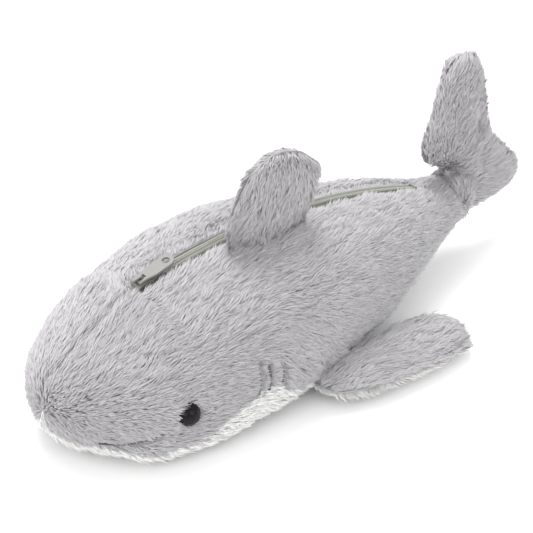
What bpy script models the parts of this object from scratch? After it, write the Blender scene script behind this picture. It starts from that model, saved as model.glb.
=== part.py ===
"""Plush shark zip pouch, built from its sewn panels, fillings, zipper and eyes.

Metres, +Z up. The nose points along -X and the shark's left is -Y. The belly lies on
Z = 0, and the origin is the middle of the flat strip that the pouch rests on.
"""

import math

import bmesh
import bpy
import numpy as np
from mathutils import Matrix, Vector

# Clearances and cloth
GAP = 0.0003
SEAM_GAP = 0.0004
FILLING_GAP = 0.0006
FILLING_END_GAP = 0.0035
PANEL = 0.004  # fur cloth, backing and pile pressed together
FIN_PANEL = 0.0025
LINING = 0.001

# Body, from the nose to the seam of the tail's stalk
BODY_LENGTH = 0.296
BODY_HALF_WIDTH = 0.068
BODY_HEIGHT = 0.088
NOSE_TO_ORIGIN = 0.156
STALK_LENGTH = 0.018
STALK_END_HALF_WIDTH = 0.016
STALK_END_TOP = 0.054
STALK_END_BOTTOM = 0.022

# Zipper: it lies on an arc, so its slider turns about the arc's centre
ZIP_FRONT_SHARE = 0.20946  # of the body's length, before the zipper starts
ZIP_FROM_NOSE = ZIP_FRONT_SHARE * BODY_LENGTH
ZIP_CHORD = 0.224
ZIP_FRONT_HEIGHT = 0.0764
ZIP_REAR_HEIGHT = 0.0543
ZIP_BULGE = 0.0166
ZIP_DEPTH = PANEL + 0.0010  # from the fur's top down to the tape
SLIT_HALF_WIDTH = 0.007
TAPE_WIDTH = 0.012
TAPE_THICKNESS = 0.0006
TAPE_SLOPE = 0.2
TAPE_INSET = 0.0022
COIL_WIDTH = 0.0026
COIL_HEIGHT = 0.0022
STOP_LENGTH = 0.0016
STOP_GAP = 0.0005
BOTTOM_STOP_AT = 0.0066  # before the slit's rear end

# Slider and pull
SLIDER_LENGTH = 0.010
SLIDER_WIDTH = 0.0088
SLIDER_WALL = 0.0009
POST_HALF_WIDTH = 0.0009
CROWN_LENGTH = 0.0072
CROWN_WIDTH = 0.0020
CROWN_HEIGHT = 0.0034
CROWN_WALL = 0.0010
PULL_LENGTH = 0.0252
PULL_WIDTH = 0.0092
PULL_THICKNESS = 0.0012
PULL_TILT = math.radians(3.0)
PULL_HOLE_RADIUS = 0.0023

# Eyes
EYE_FROM_NOSE = 0.058
EYE_HEIGHT = 0.0345
EYE_RADIUS = 0.0066
EYE_DOME = 0.0056
EYE_SEAT = 0.0026
SHANK_RADIUS = 0.0016
WASHER_RADIUS = 0.0058
WASHER_THICKNESS = 0.0012
WASHER_CLEARANCE = 0.0012  # the cloth curves away behind it

# Fins
DORSAL_FROM_NOSE = 0.128
DORSAL_SIDE = 0.0135
DORSAL_HEIGHT = 0.049
DORSAL_HALF_THICKNESS = 0.0092
DORSAL_ROOT_GAP = 0.0032
PECTORAL_FROM_NOSE = 0.140
PECTORAL_HALF_THICKNESS = 0.0080
TAIL_HALF_THICKNESS = 0.0085
SPLIT = 0.00015

# Stitched tucks
THREAD_RADIUS = 0.0006
GILLS_FROM_NOSE = (0.101, 0.108, 0.117)
GILL_SPAN = ((0.029, 0.050), (0.028, 0.047), (0.027, 0.043))

NOSE_X = -NOSE_TO_ORIGIN
SEAM_X = NOSE_X + BODY_LENGTH

# Each station: share of length, of half width, height of the bottom, height of the
# widest line, and how square the section is above and below that line
STATIONS = (
    (0.000, 0.009, 0.0294, 0.0300, 2.0, 2.0),
    (0.005, 0.132, 0.0210, 0.0295, 2.0, 2.0),
    (0.020, 0.294, 0.0120, 0.0280, 2.0, 2.0),
    (0.047, 0.456, 0.0055, 0.0260, 2.0, 2.3),
    (0.095, 0.665, 0.0010, 0.0230, 2.0, 3.0),
    (0.155, 0.835, -0.0012, 0.0210, 2.0, 3.4),
    (0.230, 0.925, -0.0012, 0.0210, 2.1, 3.6),
    (0.307, 0.975, -0.0012, 0.0240, 2.3, 3.6),
    (0.392, 1.000, -0.0012, 0.0270, 2.5, 3.4),
    (0.493, 0.975, -0.0012, 0.0290, 2.5, 3.0),
    (0.611, 0.880, -0.0008, 0.0300, 2.3, 2.6),
    (0.730, 0.750, 0.0020, 0.0310, 2.3, 2.4),
    (0.831, 0.618, 0.0060, 0.0340, 2.2, 2.2),
    (0.926, 0.470, 0.0105, 0.0370, 2.1, 2.0),
    (1.000, 0.345, 0.0160, 0.0400, 2.0, 2.0),
)
HEAD_TOP = (
    (0.000, 0.348),
    (0.005, 0.466),
    (0.020, 0.568),
    (0.047, 0.642),
    (0.095, 0.727),
    (0.155, 0.818),
)
SEAM_TOP = 0.630
BELLY_SEAM = (
    (0.00, 2.60),
    (0.04, 2.15),
    (0.083, 1.84),
    (0.15, 1.72),
    (0.20, 1.66),
    (0.27, 1.56),
    (0.33, 1.53),
    (0.39, 1.56),
    (0.46, 1.80),
    (0.56, 2.06),
    (0.80, 2.20),
    (1.00, 2.40),
)


def clear_scene():
    for obj in list(bpy.data.objects):
        bpy.data.objects.remove(obj, do_unlink=True)


def material(name, color, roughness, metallic=0.0):
    made = bpy.data.materials.new(name)
    made.use_nodes = True
    shader = made.node_tree.nodes["Principled BSDF"]
    shader.inputs["Base Color"].default_value = (*color, 1.0)
    shader.inputs["Roughness"].default_value = roughness
    shader.inputs["Metallic"].default_value = metallic
    made.diffuse_color = (*color, 1.0)
    return made


def curve(points, at):
    """A smooth curve through (place, value) points that never overshoots them."""
    places, values = np.array(points, float).T
    steps = np.diff(places)
    slopes = np.diff(values) / steps
    tangents = np.concatenate([slopes[:1], np.zeros(len(slopes) - 1), slopes[-1:]])
    for i in range(1, len(slopes)):
        if slopes[i - 1] * slopes[i] > 0:
            before = 2 * steps[i] + steps[i - 1]
            after = steps[i] + 2 * steps[i - 1]
            tangents[i] = (before + after) / (before / slopes[i - 1] + after / slopes[i])
    at = np.clip(np.asarray(at, float), places[0], places[-1])
    i = np.clip(np.searchsorted(places, at) - 1, 0, len(steps) - 1)
    t = (at - places[i]) / steps[i]
    rise = values[i] * (2 * t**3 - 3 * t**2 + 1) + values[i + 1] * (3 * t**2 - 2 * t**3)
    return rise + steps[i] * (tangents[i] * (t**3 - 2 * t**2 + t) + tangents[i + 1] * (t**3 - t**2))


def step(value):
    t = np.clip(value, 0.0, 1.0)
    return t * t * (3 - 2 * t)


# ---------------------------------------------------------------- zipper line


def zip_arc():
    """Centre (x, z) and radius of the arc, and the angles of its two ends from straight up."""
    front = np.array([NOSE_X + ZIP_FROM_NOSE, ZIP_FRONT_HEIGHT])
    rear = front + np.array([ZIP_CHORD, ZIP_REAR_HEIGHT - ZIP_FRONT_HEIGHT])
    half = np.linalg.norm(rear - front) / 2
    radius = (half**2 + ZIP_BULGE**2) / (2 * ZIP_BULGE)
    down = np.array([rear[1] - front[1], front[0] - rear[0]]) / (2 * half)
    centre = (front + rear) / 2 + down * (radius - ZIP_BULGE)
    angles = [math.asin((end[0] - centre[0]) / radius) for end in (front, rear)]
    return centre, radius, angles[0], angles[1]


ZIP_CENTRE, ZIP_RADIUS, ZIP_START, ZIP_END = zip_arc()
ZIP_LENGTH = (ZIP_END - ZIP_START) * ZIP_RADIUS
ZIP_X = (NOSE_X + ZIP_FROM_NOSE, NOSE_X + ZIP_FROM_NOSE + ZIP_CHORD)
SLIDER_AT = 0.0040 + 1.5 * PANEL  # clear of the side panels' inner faces at the slit's front end


def zip_height(x):
    return ZIP_CENTRE[1] + np.sqrt(ZIP_RADIUS**2 - (x - ZIP_CENTRE[0]) ** 2)


def on_zip(along, y, height):
    """The point a distance along the zipper's arc, to one side of it and above its tape."""
    angle = ZIP_START + np.asarray(along, float) / ZIP_RADIUS
    reach = ZIP_RADIUS + height
    x = ZIP_CENTRE[0] + reach * np.sin(angle)
    z = ZIP_CENTRE[1] + reach * np.cos(angle)
    return np.stack(np.broadcast_arrays(x, y, z), -1)


# --------------------------------------------------------------- body surface


def stations():
    rows = []
    for share, width, *rest in STATIONS:
        rows.append((share * BODY_LENGTH + NOSE_X, width * BODY_HALF_WIDTH, *rest))
    middle = (STALK_END_TOP + STALK_END_BOTTOM) / 2
    rows.append((SEAM_X + STALK_LENGTH, STALK_END_HALF_WIDTH, STALK_END_BOTTOM, middle, 2.0, 2.0))
    return np.array(rows)


ROWS = stations()
LAST = len(ROWS) - 1


def tops():
    head = [(NOSE_X + share * BODY_LENGTH, height * BODY_HEIGHT) for share, height in HEAD_TOP]
    ends = [(x, float(zip_height(x)) + ZIP_DEPTH) for x in ZIP_X]
    rear = [(SEAM_X, SEAM_TOP * BODY_HEIGHT), (SEAM_X + STALK_LENGTH, STALK_END_TOP)]
    return head + ends[:1], ends[1:] + rear


HEAD_CURVE, REAR_CURVE = tops()


def top_height(x):
    """The fur's top line: free over the head and stalk, and along the zipper's arc between."""
    x = np.asarray(x, float)
    over_zip = zip_height(np.clip(x, *ZIP_X)) + ZIP_DEPTH
    before_rear = np.where(x > ZIP_X[1], curve(REAR_CURVE, x), over_zip)
    return np.where(x < ZIP_X[0], curve(HEAD_CURVE, x), before_rear)


def section(place):
    columns = [curve(list(enumerate(ROWS[:, k])), place) for k in range(ROWS.shape[1])]
    return columns[0], columns[1], top_height(columns[0]), *columns[2:]


def surface(place, angle):
    """The fur's outer surface; angle runs from 0 at the top to pi below, positive to the left."""
    x, half, top, bottom, side, square_top, square_low = section(place)
    cosine = np.cos(angle)
    sine = np.sin(angle)
    square = np.where(cosine > 0, square_top, square_low)
    reach = np.where(cosine > 0, top - side, side - bottom)
    y = -half * np.sign(sine) * np.abs(sine) ** (2 / square)
    z = side + reach * np.sign(cosine) * np.abs(cosine) ** (2 / square)
    return np.stack(np.broadcast_arrays(x, y, np.maximum(z, 0.0)), -1)


def normal(place, angle):
    small = 1e-3
    ahead = surface(np.minimum(place + small, LAST), angle)
    along = ahead - surface(np.maximum(place - small, 0), angle)
    around = surface(place, angle + small) - surface(place, angle - small)
    across = np.cross(around, along)
    return across / np.maximum(np.linalg.norm(across, axis=-1, keepdims=True), 1e-12)


def inside(place, angle, depth):
    """The point a depth under the surface; at the nose it stays on its own side of the middle."""
    outer = surface(place, angle)
    inward = -depth * normal(place, angle)
    middle = np.stack(np.broadcast_arrays(outer[..., 0], 0.0, section(place)[4]), -1)
    radius = np.linalg.norm(outer - middle, axis=-1)
    crossed = -(inward * (outer - middle)).sum(-1) / np.maximum(radius, 1e-9)
    kept = np.clip(0.8 * radius / np.maximum(crossed, 1e-9), 0, 1)
    inward[..., 1:] *= kept[..., None]
    return outer + inward


def place_at(x):
    """The place along the stations whose section stands at x."""
    low, high = np.zeros_like(np.asarray(x, float)), np.full_like(np.asarray(x, float), LAST)
    for _ in range(40):
        middle = (low + high) / 2
        ahead = curve(list(enumerate(ROWS[:, 0])), middle) < x
        low, high = np.where(ahead, middle, low), np.where(ahead, high, middle)
    return (low + high) / 2


def angle_at_side(place, y):
    """The angle in the upper half where the surface stands y from the middle plane."""
    _, half, _, _, _, square, _ = section(place)
    return np.arcsin(np.clip(y / half, 0, 1) ** (square / 2))


def on_side(x, z, side):
    """Surface point and outward normal at a height on one flank, on either side of its widest line."""
    place = place_at(x)
    _, _, top, bottom, middle, square_top, square_low = section(place)
    if z >= middle:
        angle = math.acos(min(1.0, ((z - middle) / (top - middle)) ** (square_top / 2)))
    else:
        angle = math.pi - math.acos(min(1.0, ((middle - z) / (middle - bottom)) ** (square_low / 2)))
    angle *= side
    return Vector(surface(place, np.float64(angle))), Vector(normal(place, np.float64(angle)))


# -------------------------------------------------------------- mesh building


def add_mesh(name, points, faces, finish, origin=(0, 0, 0), flat=False):
    mesh = bpy.data.meshes.new(name)
    mesh.from_pydata([tuple(Vector(p) - Vector(origin)) for p in points], [], faces)
    work = bmesh.new()
    work.from_mesh(mesh)
    if work.calc_volume(signed=True) < 0:
        bmesh.ops.reverse_faces(work, faces=work.faces)
    work.to_mesh(mesh)
    work.free()
    mesh.materials.append(finish)
    if not flat:
        mesh.shade_smooth()
        mesh.set_sharp_from_angle(angle=math.radians(40))
    obj = bpy.data.objects.new(name, mesh)
    obj.location = origin
    bpy.context.scene.collection.objects.link(obj)
    return obj


def slab(name, upper, lower, finish, origin=(0, 0, 0)):
    """A closed solid between two grids of points of the same size.

    The faces and the rim are split along the same diagonals, so neighbours stay clear of each other.
    """
    rows, columns = upper.shape[:2]
    points = np.concatenate([upper.reshape(-1, 3), lower.reshape(-1, 3)])
    half = rows * columns
    faces = []
    for i in range(rows - 1):
        for j in range(columns - 1):
            a = i * columns + j
            c = a + columns + 1
            for triangle in ((a, a + 1, c), (a, c, a + columns)):
                faces.append(triangle)
                faces.append(tuple(k + half for k in reversed(triangle)))
    edge = [j for j in range(columns)]
    edge += [i * columns + columns - 1 for i in range(1, rows)]
    edge += [(rows - 1) * columns + j for j in range(columns - 2, -1, -1)]
    edge += [i * columns for i in range(rows - 2, 0, -1)]
    for a, b in zip(edge, edge[1:] + edge[:1]):
        near, far = (a, b + half) if a < b else (b, a + half)
        faces.append((b, a, far))
        faces.append((near, a + half, b + half))
    return add_mesh(name, points, faces, finish, origin)


def loft(name, rings, finish, origin=(0, 0, 0)):
    """A closed solid through rings of points, with a flat fan at each end."""
    rings = np.asarray(rings)
    count, around = rings.shape[:2]
    points = list(rings.reshape(-1, 3)) + [rings[0].mean(0), rings[-1].mean(0)]
    faces = []
    for i in range(count - 1):
        for j in range(around):
            k = (j + 1) % around
            faces.append((i * around + j, i * around + k, (i + 1) * around + k, (i + 1) * around + j))
    last = (count - 1) * around
    for j in range(around):
        k = (j + 1) % around
        faces.append((k, j, count * around))
        faces.append((last + j, last + k, count * around + 1))
    return add_mesh(name, points, faces, finish, origin)


def turned(name, profile, centre, axis, finish, around=16):
    """A solid turned about an axis; profile points are (radius, height), and radius 0 closes an end."""
    turn = Vector((0, 0, 1)).rotation_difference(Vector(axis))
    work = bmesh.new()
    verts = [work.verts.new((radius, 0, height)) for radius, height in profile]
    loop = verts if profile[0][0] == 0 else verts + verts[:1]
    edges = [work.edges.new(pair) for pair in zip(loop, loop[1:])]
    turn_about = dict(cent=(0, 0, 0), axis=(0, 0, 1), angle=math.tau, steps=around)
    bmesh.ops.spin(work, geom=verts + edges, use_merge=True, **turn_about)
    bmesh.ops.remove_doubles(work, verts=work.verts, dist=1e-6)
    bmesh.ops.recalc_face_normals(work, faces=work.faces)
    mesh = bpy.data.meshes.new(name)
    work.to_mesh(mesh)
    work.free()
    mesh.transform(turn.to_matrix().to_4x4())
    mesh.materials.append(finish)
    mesh.shade_smooth()
    mesh.set_sharp_from_angle(angle=math.radians(35))
    obj = bpy.data.objects.new(name, mesh)
    obj.location = centre
    bpy.context.scene.collection.objects.link(obj)
    return obj


def cut(obj, cutter):
    cutter.hide_render = True
    cutter.display_type = "WIRE"
    modifier = obj.modifiers.new(cutter.name, "BOOLEAN")
    modifier.object = cutter
    modifier.operation = "DIFFERENCE"


def prism(name, outline, to_point, half, finish):
    """An outline in a plane, given thickness half each way; to_point(a, b, side) places it."""
    count = len(outline)
    points = [to_point(a, b, side * half) for side in (-1, 1) for a, b in outline]
    faces = [tuple(range(count)), tuple(range(2 * count - 1, count - 1, -1))]
    for j in range(count):
        k = (j + 1) % count
        faces.append((k, j, j + count, k + count))
    return add_mesh(name, points, faces, finish, flat=True)


# ----------------------------------------------------------------- the pieces


def body_places(first, last, extra=()):
    """Places along the stations between two x values: close at the nose, even elsewhere."""
    even = np.arange(NOSE_X + 0.030, SEAM_X + STALK_LENGTH, 0.017)
    nose = ROWS[:4, 0]
    wanted = [x for x in (*nose, *even) if first < x < last]
    kept = [x for x in wanted if all(abs(x - e) > 0.002 for e in extra)]
    found = {round(float(x), 5) for x in (first, *kept, *extra, last)}
    return place_at(np.array(sorted(found)))


def slit_half_width(x):
    """Half the gap between the two side panels: the zipper's slit, and a seam beyond its ends."""
    taper = 0.005
    open_share = step((x - ZIP_X[0]) / taper) * step((ZIP_X[1] - x) / taper)
    return SEAM_GAP / 2 + (SLIT_HALF_WIDTH - SEAM_GAP / 2) * open_share


def belly_angle(place):
    x = section(place)[0]
    return curve(BELLY_SEAM, (x - NOSE_X) / BODY_LENGTH)


def beyond_seam(places, side):
    """The direction in the surface that leads from a side panel's lower seam into the belly panel."""
    seam = belly_angle(places)
    across = surface(places, (seam + 1e-3) * side) - surface(places, seam * side)
    return across / np.linalg.norm(across, axis=-1, keepdims=True)


def panel_grid(places, across, side, depth):
    x = section(places)[0]
    upper = angle_at_side(places, slit_half_width(x))
    lower = belly_angle(places)
    angles = upper[:, None] + (lower - upper)[:, None] * np.linspace(0, 1, across)[None, :]
    angles = angles * side
    grid = inside(np.repeat(places[:, None], across, axis=1), angles, depth)
    grid[:, -1] -= beyond_seam(places, side) * SEAM_GAP / 2
    return grid


def panel_places():
    """Rows that the side panels and the belly panel share, closer together at the slit's ends."""
    tapers = (0.0, 0.003, 0.006)
    front = [ZIP_X[0] + taper for taper in tapers]
    rear = [ZIP_X[1] - taper for taper in reversed(tapers)]
    return body_places(NOSE_X, SEAM_X, (*front, *rear))


def side_panels(fur):
    places = panel_places()
    panels = {}
    for name, side in (("left", 1), ("right", -1)):
        grids = [panel_grid(places, 10, side, depth) for depth in (0.0, PANEL)]
        panels[side] = slab(f"side_panel_{name}", *grids, fur)
    return panels


def belly_panel(white):
    places = panel_places()
    seam = belly_angle(places)
    across = 13
    angles = seam[:, None] + (math.tau - 2 * seam)[:, None] * np.linspace(0, 1, across)[None, :]
    grid_places = np.repeat(places[:, None], across, axis=1)
    grids = [inside(grid_places, angles, depth) for depth in (0.0, PANEL)]
    for grid in grids:
        grid[:, 0] += beyond_seam(places, 1) * SEAM_GAP / 2
        grid[:, -1] += beyond_seam(places, -1) * SEAM_GAP / 2
    return slab("belly_panel", *grids, white)


def body_rings(first, last, depth, around=20, shorter=0.0):
    """Rings of the body's section at a depth; shorter moves the two end rings in."""
    places = body_places(first, last)
    places[0] = place_at(first + shorter)
    places[-1] = place_at(last - shorter)
    angles = np.linspace(0, math.tau, around, endpoint=False)
    grid_places = np.repeat(places[:, None], around, axis=1)
    return inside(grid_places, np.repeat(angles[None, :], len(places), axis=0), depth)


def lining_bag(cloth):
    """A thin bag under the zipper, open along the slit."""
    depth = PANEL + 0.0042
    first = ZIP_X[0] + 0.002
    last = ZIP_X[1] - 0.001
    bag = loft("lining", body_rings(first, last, depth), cloth)
    hollow = loft("lining_hollow", body_rings(first, last, depth + LINING, shorter=2 * LINING), cloth)
    along = np.linspace(0.006, ZIP_LENGTH - 0.006, 12)[:, None]
    y = np.array([-SLIT_HALF_WIDTH, SLIT_HALF_WIDTH])[None, :]
    slot = slab("lining_slot", on_zip(along, y, 0.010), on_zip(along, y, -0.016), cloth)
    cut(bag, hollow)
    cut(bag, slot)
    return bag


def tape_slope(along):
    """How steeply a tape falls away from the teeth, enough for it to pass under the side panels."""
    place = place_at(on_zip(along, 0.0, 0.0)[..., 0])
    out = np.linspace(SLIT_HALF_WIDTH, TAPE_WIDTH + PANEL / 2, 8)[None, :]
    under = inside(place + 0 * out, angle_at_side(place, out), PANEL + TAPE_THICKNESS)
    below = ZIP_RADIUS - np.hypot(under[..., 0] - ZIP_CENTRE[0], under[..., 2] - ZIP_CENTRE[1])
    needed = below / np.maximum(np.abs(under[..., 1]), SLIT_HALF_WIDTH)
    return np.maximum(TAPE_SLOPE, needed.max(axis=-1, keepdims=True))


def zip_halves(tape_cloth, coil_nylon, steel):
    along = np.linspace(SLIDER_AT + 0.003, ZIP_LENGTH - TAPE_INSET, 16)
    along = np.concatenate([[TAPE_INSET, SLIDER_AT - 0.0014], along])[:, None]
    around_post = np.where(along < SLIDER_AT, POST_HALF_WIDTH + GAP, GAP / 2)
    coil_along = np.linspace(SLIDER_AT - 0.0012, ZIP_LENGTH - BOTTOM_STOP_AT - GAP, 17)[:, None]
    ring = np.linspace(0, math.pi, 5)[None, :]
    coil_base = TAPE_THICKNESS / 2 + GAP
    for name, side in (("left", -1), ("right", 1)):
        out = around_post + (TAPE_WIDTH - around_post) * np.linspace(0, 1, 4)[None, :]
        fall = tape_slope(along) * out
        faces = (TAPE_THICKNESS / 2, -TAPE_THICKNESS / 2)
        grids = [on_zip(along, side * out, face - fall) for face in faces]
        slab(f"zip_tape_{name}", *grids, tape_cloth)
        wide = GAP / 2 + COIL_WIDTH * (1 - np.cos(ring)) / 2
        upper = on_zip(coil_along, side * wide, coil_base + COIL_HEIGHT * (0.4 + 0.6 * np.sin(ring)))
        lower = on_zip(coil_along, side * wide, coil_base + 0 * ring)
        slab(f"zip_coil_{name}", upper, lower, coil_nylon)
        stop_end = SLIDER_AT - SLIDER_LENGTH / 2 - STOP_GAP
        stop_along = np.array([stop_end - STOP_LENGTH, stop_end])[:, None]
        stop_wide = np.array([0.0006, 0.0024])[None, :]
        grids = [on_zip(stop_along, side * stop_wide, high) for high in (0.0024, coil_base)]
        slab(f"top_stop_{name}", *grids, steel)
    end_along = ZIP_LENGTH - BOTTOM_STOP_AT + np.array([0.0, 0.0022])[:, None]
    end_wide = np.array([[-0.0026, 0.0026]])
    grids = [on_zip(end_along, end_wide, high) for high in (0.0028, coil_base)]
    slab("bottom_stop", *grids, steel)


def slider(steel):
    """Body with its two plates and post, the crown over it, and the pull that hangs in the crown."""
    slope = float(tape_slope(np.array([[SLIDER_AT]]))[0, 0])
    low = -TAPE_THICKNESS / 2 - slope * SLIDER_WIDTH / 2 - GAP - SLIDER_WALL
    high = TAPE_THICKNESS / 2 + COIL_HEIGHT + 2 * GAP + SLIDER_WALL
    half = SLIDER_LENGTH / 2
    outline = [(-half, 0.46), (-half + 0.002, 0.5), (half - 0.004, 0.40), (half, 0.34)]

    def plate(name, bottom, top):
        along = np.array([a for a, _ in outline])[:, None] + SLIDER_AT
        wide = np.array([[-share, share] for _, share in outline]) * SLIDER_WIDTH
        return slab(name, on_zip(along, wide, top), on_zip(along, wide, bottom), steel)

    body = plate("slider_body", high - SLIDER_WALL, high)
    lower = plate("slider_lower_plate", low, low + SLIDER_WALL)
    post_along = SLIDER_AT - half + np.array([0.0006, 0.0018, 0.0030])[:, None]
    post_wide = np.array([[-0.45, 0.45], [-1.0, 1.0], [-0.2, 0.2]]) * POST_HALF_WIDTH
    levels = (high - SLIDER_WALL / 2, low + SLIDER_WALL / 2)
    grids = [on_zip(post_along, post_wide, level) for level in levels]
    post = slab("slider_post", *grids, steel)
    for piece in (lower, post):
        piece.hide_render = True
        piece.display_type = "WIRE"
        join = body.modifiers.new(piece.name, "BOOLEAN")
        join.object = piece
        join.operation = "UNION"
    return body, high


def slider_crown(steel, plate_top):
    half = CROWN_LENGTH / 2
    inner = half - CROWN_WALL
    slant = 0.0009
    under = CROWN_HEIGHT - CROWN_WALL
    outline = [(-half, 0), (-half, CROWN_HEIGHT - slant), (-half + slant, CROWN_HEIGHT)]
    outline += [(half - slant, CROWN_HEIGHT), (half, CROWN_HEIGHT - slant), (half, 0), (inner, 0)]
    outline += [(inner, under - slant / 2), (inner - slant / 2, under)]
    outline += [(-inner + slant / 2, under), (-inner, under - slant / 2), (-inner, 0)]

    def place(a, b, y):
        return on_zip(SLIDER_AT + a, y, plate_top + GAP + b)

    return prism("slider_crown", outline, place, CROWN_WIDTH / 2, steel)


def pull_tab(steel, plate_top):
    """A flat pull whose front bar turns under the crown, which stands in its window."""
    pivot_height = plate_top + GAP + PULL_THICKNESS / 2 + 0.0003
    pivot = Vector(on_zip(SLIDER_AT, 0.0, pivot_height))
    bar = PULL_THICKNESS / 2
    round_half = PULL_WIDTH / 2
    end = PULL_LENGTH - bar - round_half
    neck = 0.0032
    outline = [(-bar, -neck), (0.004, -neck), (0.010, -round_half)]
    turns = np.linspace(0, math.pi, 9)
    outline += [(end + round_half * math.sin(t), -round_half * math.cos(t)) for t in turns]
    outline += [(0.010, round_half), (0.004, neck), (-bar, neck)]
    turn = ZIP_START + SLIDER_AT / ZIP_RADIUS - PULL_TILT

    def place(a, b, up):
        x = a * math.cos(turn) + up * math.sin(turn)
        z = up * math.cos(turn) - a * math.sin(turn)
        return pivot + Vector((x, b, z))

    tab = prism("pull_tab", outline, place, PULL_THICKNESS / 2, steel)
    window_half = CROWN_WIDTH / 2 + 0.0004
    reach = math.hypot(CROWN_LENGTH / 2, CROWN_HEIGHT) + 0.0003
    window = [(bar, -window_half), (reach, -window_half), (reach, window_half), (bar, window_half)]
    cut(tab, prism("pull_window", window, place, PULL_THICKNESS, steel))
    turns = np.arange(12) * math.tau / 12
    hole = [(end + PULL_HOLE_RADIUS * math.cos(t), PULL_HOLE_RADIUS * math.sin(t)) for t in turns]
    cut(tab, prism("pull_hole", hole, place, PULL_THICKNESS, steel))
    mesh_shift = Matrix.Translation(-pivot)
    tab.data.transform(mesh_shift)
    tab.location = pivot
    return tab


def eyes(panels, filling, black, plastic):
    """Each eye is a dome on a shank through the side panel, held by a washer inside."""
    for name, side in (("left", 1), ("right", -1)):
        point, out = on_side(NOSE_X + EYE_FROM_NOSE, EYE_HEIGHT, side)
        seat = -EYE_SEAT
        washer_top = -PANEL - WASHER_CLEARANCE
        shank_end = washer_top - WASHER_THICKNESS - 0.0008
        turns = np.linspace(0, math.pi / 2, 6)
        dome = [(EYE_RADIUS * math.cos(t), seat + EYE_DOME * math.sin(t)) for t in turns]
        dome[-1] = (0.0, seat + EYE_DOME)
        rim = [(EYE_RADIUS - 0.0008, seat - 0.0006), (SHANK_RADIUS, seat - 0.0006)]
        profile = [(0.0, shank_end), (SHANK_RADIUS, shank_end)] + rim[::-1] + dome
        turned(f"eye_{name}", profile, point, out, black)
        inner = SHANK_RADIUS + GAP
        ring = [(inner, washer_top - WASHER_THICKNESS), (WASHER_RADIUS, washer_top - WASHER_THICKNESS)]
        ring += [(WASHER_RADIUS, washer_top), (inner, washer_top)]
        turned(f"eye_washer_{name}", ring, point, out, plastic)
        clear = EYE_RADIUS + GAP
        seat_cut = seat - 0.0006 - GAP
        hollow = [(0.0, -2 * PANEL), (inner, -2 * PANEL), (inner, seat_cut)]
        hollow += [(clear, seat_cut), (clear, PANEL), (0.0, PANEL)]
        cut(panels[side], turned(f"eye_hole_{name}", hollow, point, out, plastic))
        pocket_end = shank_end - 0.0010
        pocket_wide = WASHER_RADIUS + 0.001
        pocket = [(0.0, pocket_end), (pocket_wide, pocket_end), (pocket_wide, PANEL), (0.0, PANEL)]
        cut(filling, turned(f"eye_pocket_{name}", pocket, point, out, plastic))


def head_filling(fibre):
    rings = body_rings(ROWS[1, 0], ZIP_X[0] - FILLING_END_GAP, PANEL + 0.0012, 24)
    return loft("head_filling", rings, fibre)


def thread(name, points, radius, finish, around=6):
    """A stitch's thread along points, each with the direction that points away from the cloth."""
    rings = []
    places = [Vector(p) for p, _ in points]
    for i, (point, out) in enumerate(points):
        ahead = (places[min(i + 1, len(places) - 1)] - places[max(i - 1, 0)]).normalized()
        side = ahead.cross(out).normalized()
        up = side.cross(ahead)
        centre = Vector(point) + out * (radius + GAP + 0.0002)
        turns = np.arange(around) * math.tau / around
        rings.append([centre + (side * math.cos(t) + up * math.sin(t)) * radius for t in turns])
    return loft(name, rings, finish)


def tucks(cotton):
    for name, side in (("left", 1), ("right", -1)):
        for number, (from_nose, (low, high)) in enumerate(zip(GILLS_FROM_NOSE, GILL_SPAN), 1):
            heights = np.linspace(low, high, 7)
            points = [on_side(NOSE_X + from_nose, z, side) for z in heights]
            thread(f"gill_stitch_{name}_{number}", points, THREAD_RADIUS, cotton)
        mouth = [(0.014, 0.0165), (0.021, 0.0180), (0.029, 0.0200), (0.037, 0.0225), (0.044, 0.0255)]
        points = [on_side(NOSE_X + from_nose, z, side) for from_nose, z in mouth]
        thread(f"mouth_stitch_{name}", points, THREAD_RADIUS, cotton)


# ------------------------------------------------------------------------ fins


def chord_shares(columns):
    """Shares from a fin's front edge to its rear edge, closer together at the edges."""
    return (1 - np.cos(np.linspace(0, math.pi, columns))) / 2


def lens(u):
    return np.clip(1 - np.abs(2 * u - 1) ** 2.2, 0, 1) ** 0.6


def fin_pieces(name, grid, panels, fibre, origin):
    """Two shaped cloth panels that meet at a seam, and the filling between them.

    grid(inset, side, least, relief) gives one face: inset is its depth under the cloth's
    outside, and relief is the clearance that the filling keeps inside that face.
    """
    for suffix, side, finish in panels:
        outer = grid(0.0, side, SPLIT, 0.0)
        inner = grid(FIN_PANEL, side, SPLIT, 0.0)
        slab(f"{name}_{suffix}", outer, inner, finish, origin)
    faces = [grid(FIN_PANEL, side, SPLIT / 3, FILLING_GAP) for side in (1, -1)]
    slab(f"{name}_filling", *faces, fibre, origin)


# Front and rear edges of the dorsal fin: share of its height, distance back from its front
DORSAL_FRONT = (
    (0.00, -0.006),
    (0.30, -0.006),
    (0.55, -0.002),
    (0.78, 0.004),
    (0.92, 0.012),
    (1.00, 0.021),
)
DORSAL_REAR = (
    (0.00, 0.054),
    (0.25, 0.058),
    (0.45, 0.061),
    (0.62, 0.061),
    (0.80, 0.054),
    (0.92, 0.046),
    (1.00, 0.035),
)
DORSAL_SWELL = ((0.0, 0.72), (0.35, 1.0), (0.75, 0.95), (0.93, 0.60), (1.0, 0.0))
DORSAL_MIDDLE = 0.026


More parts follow.
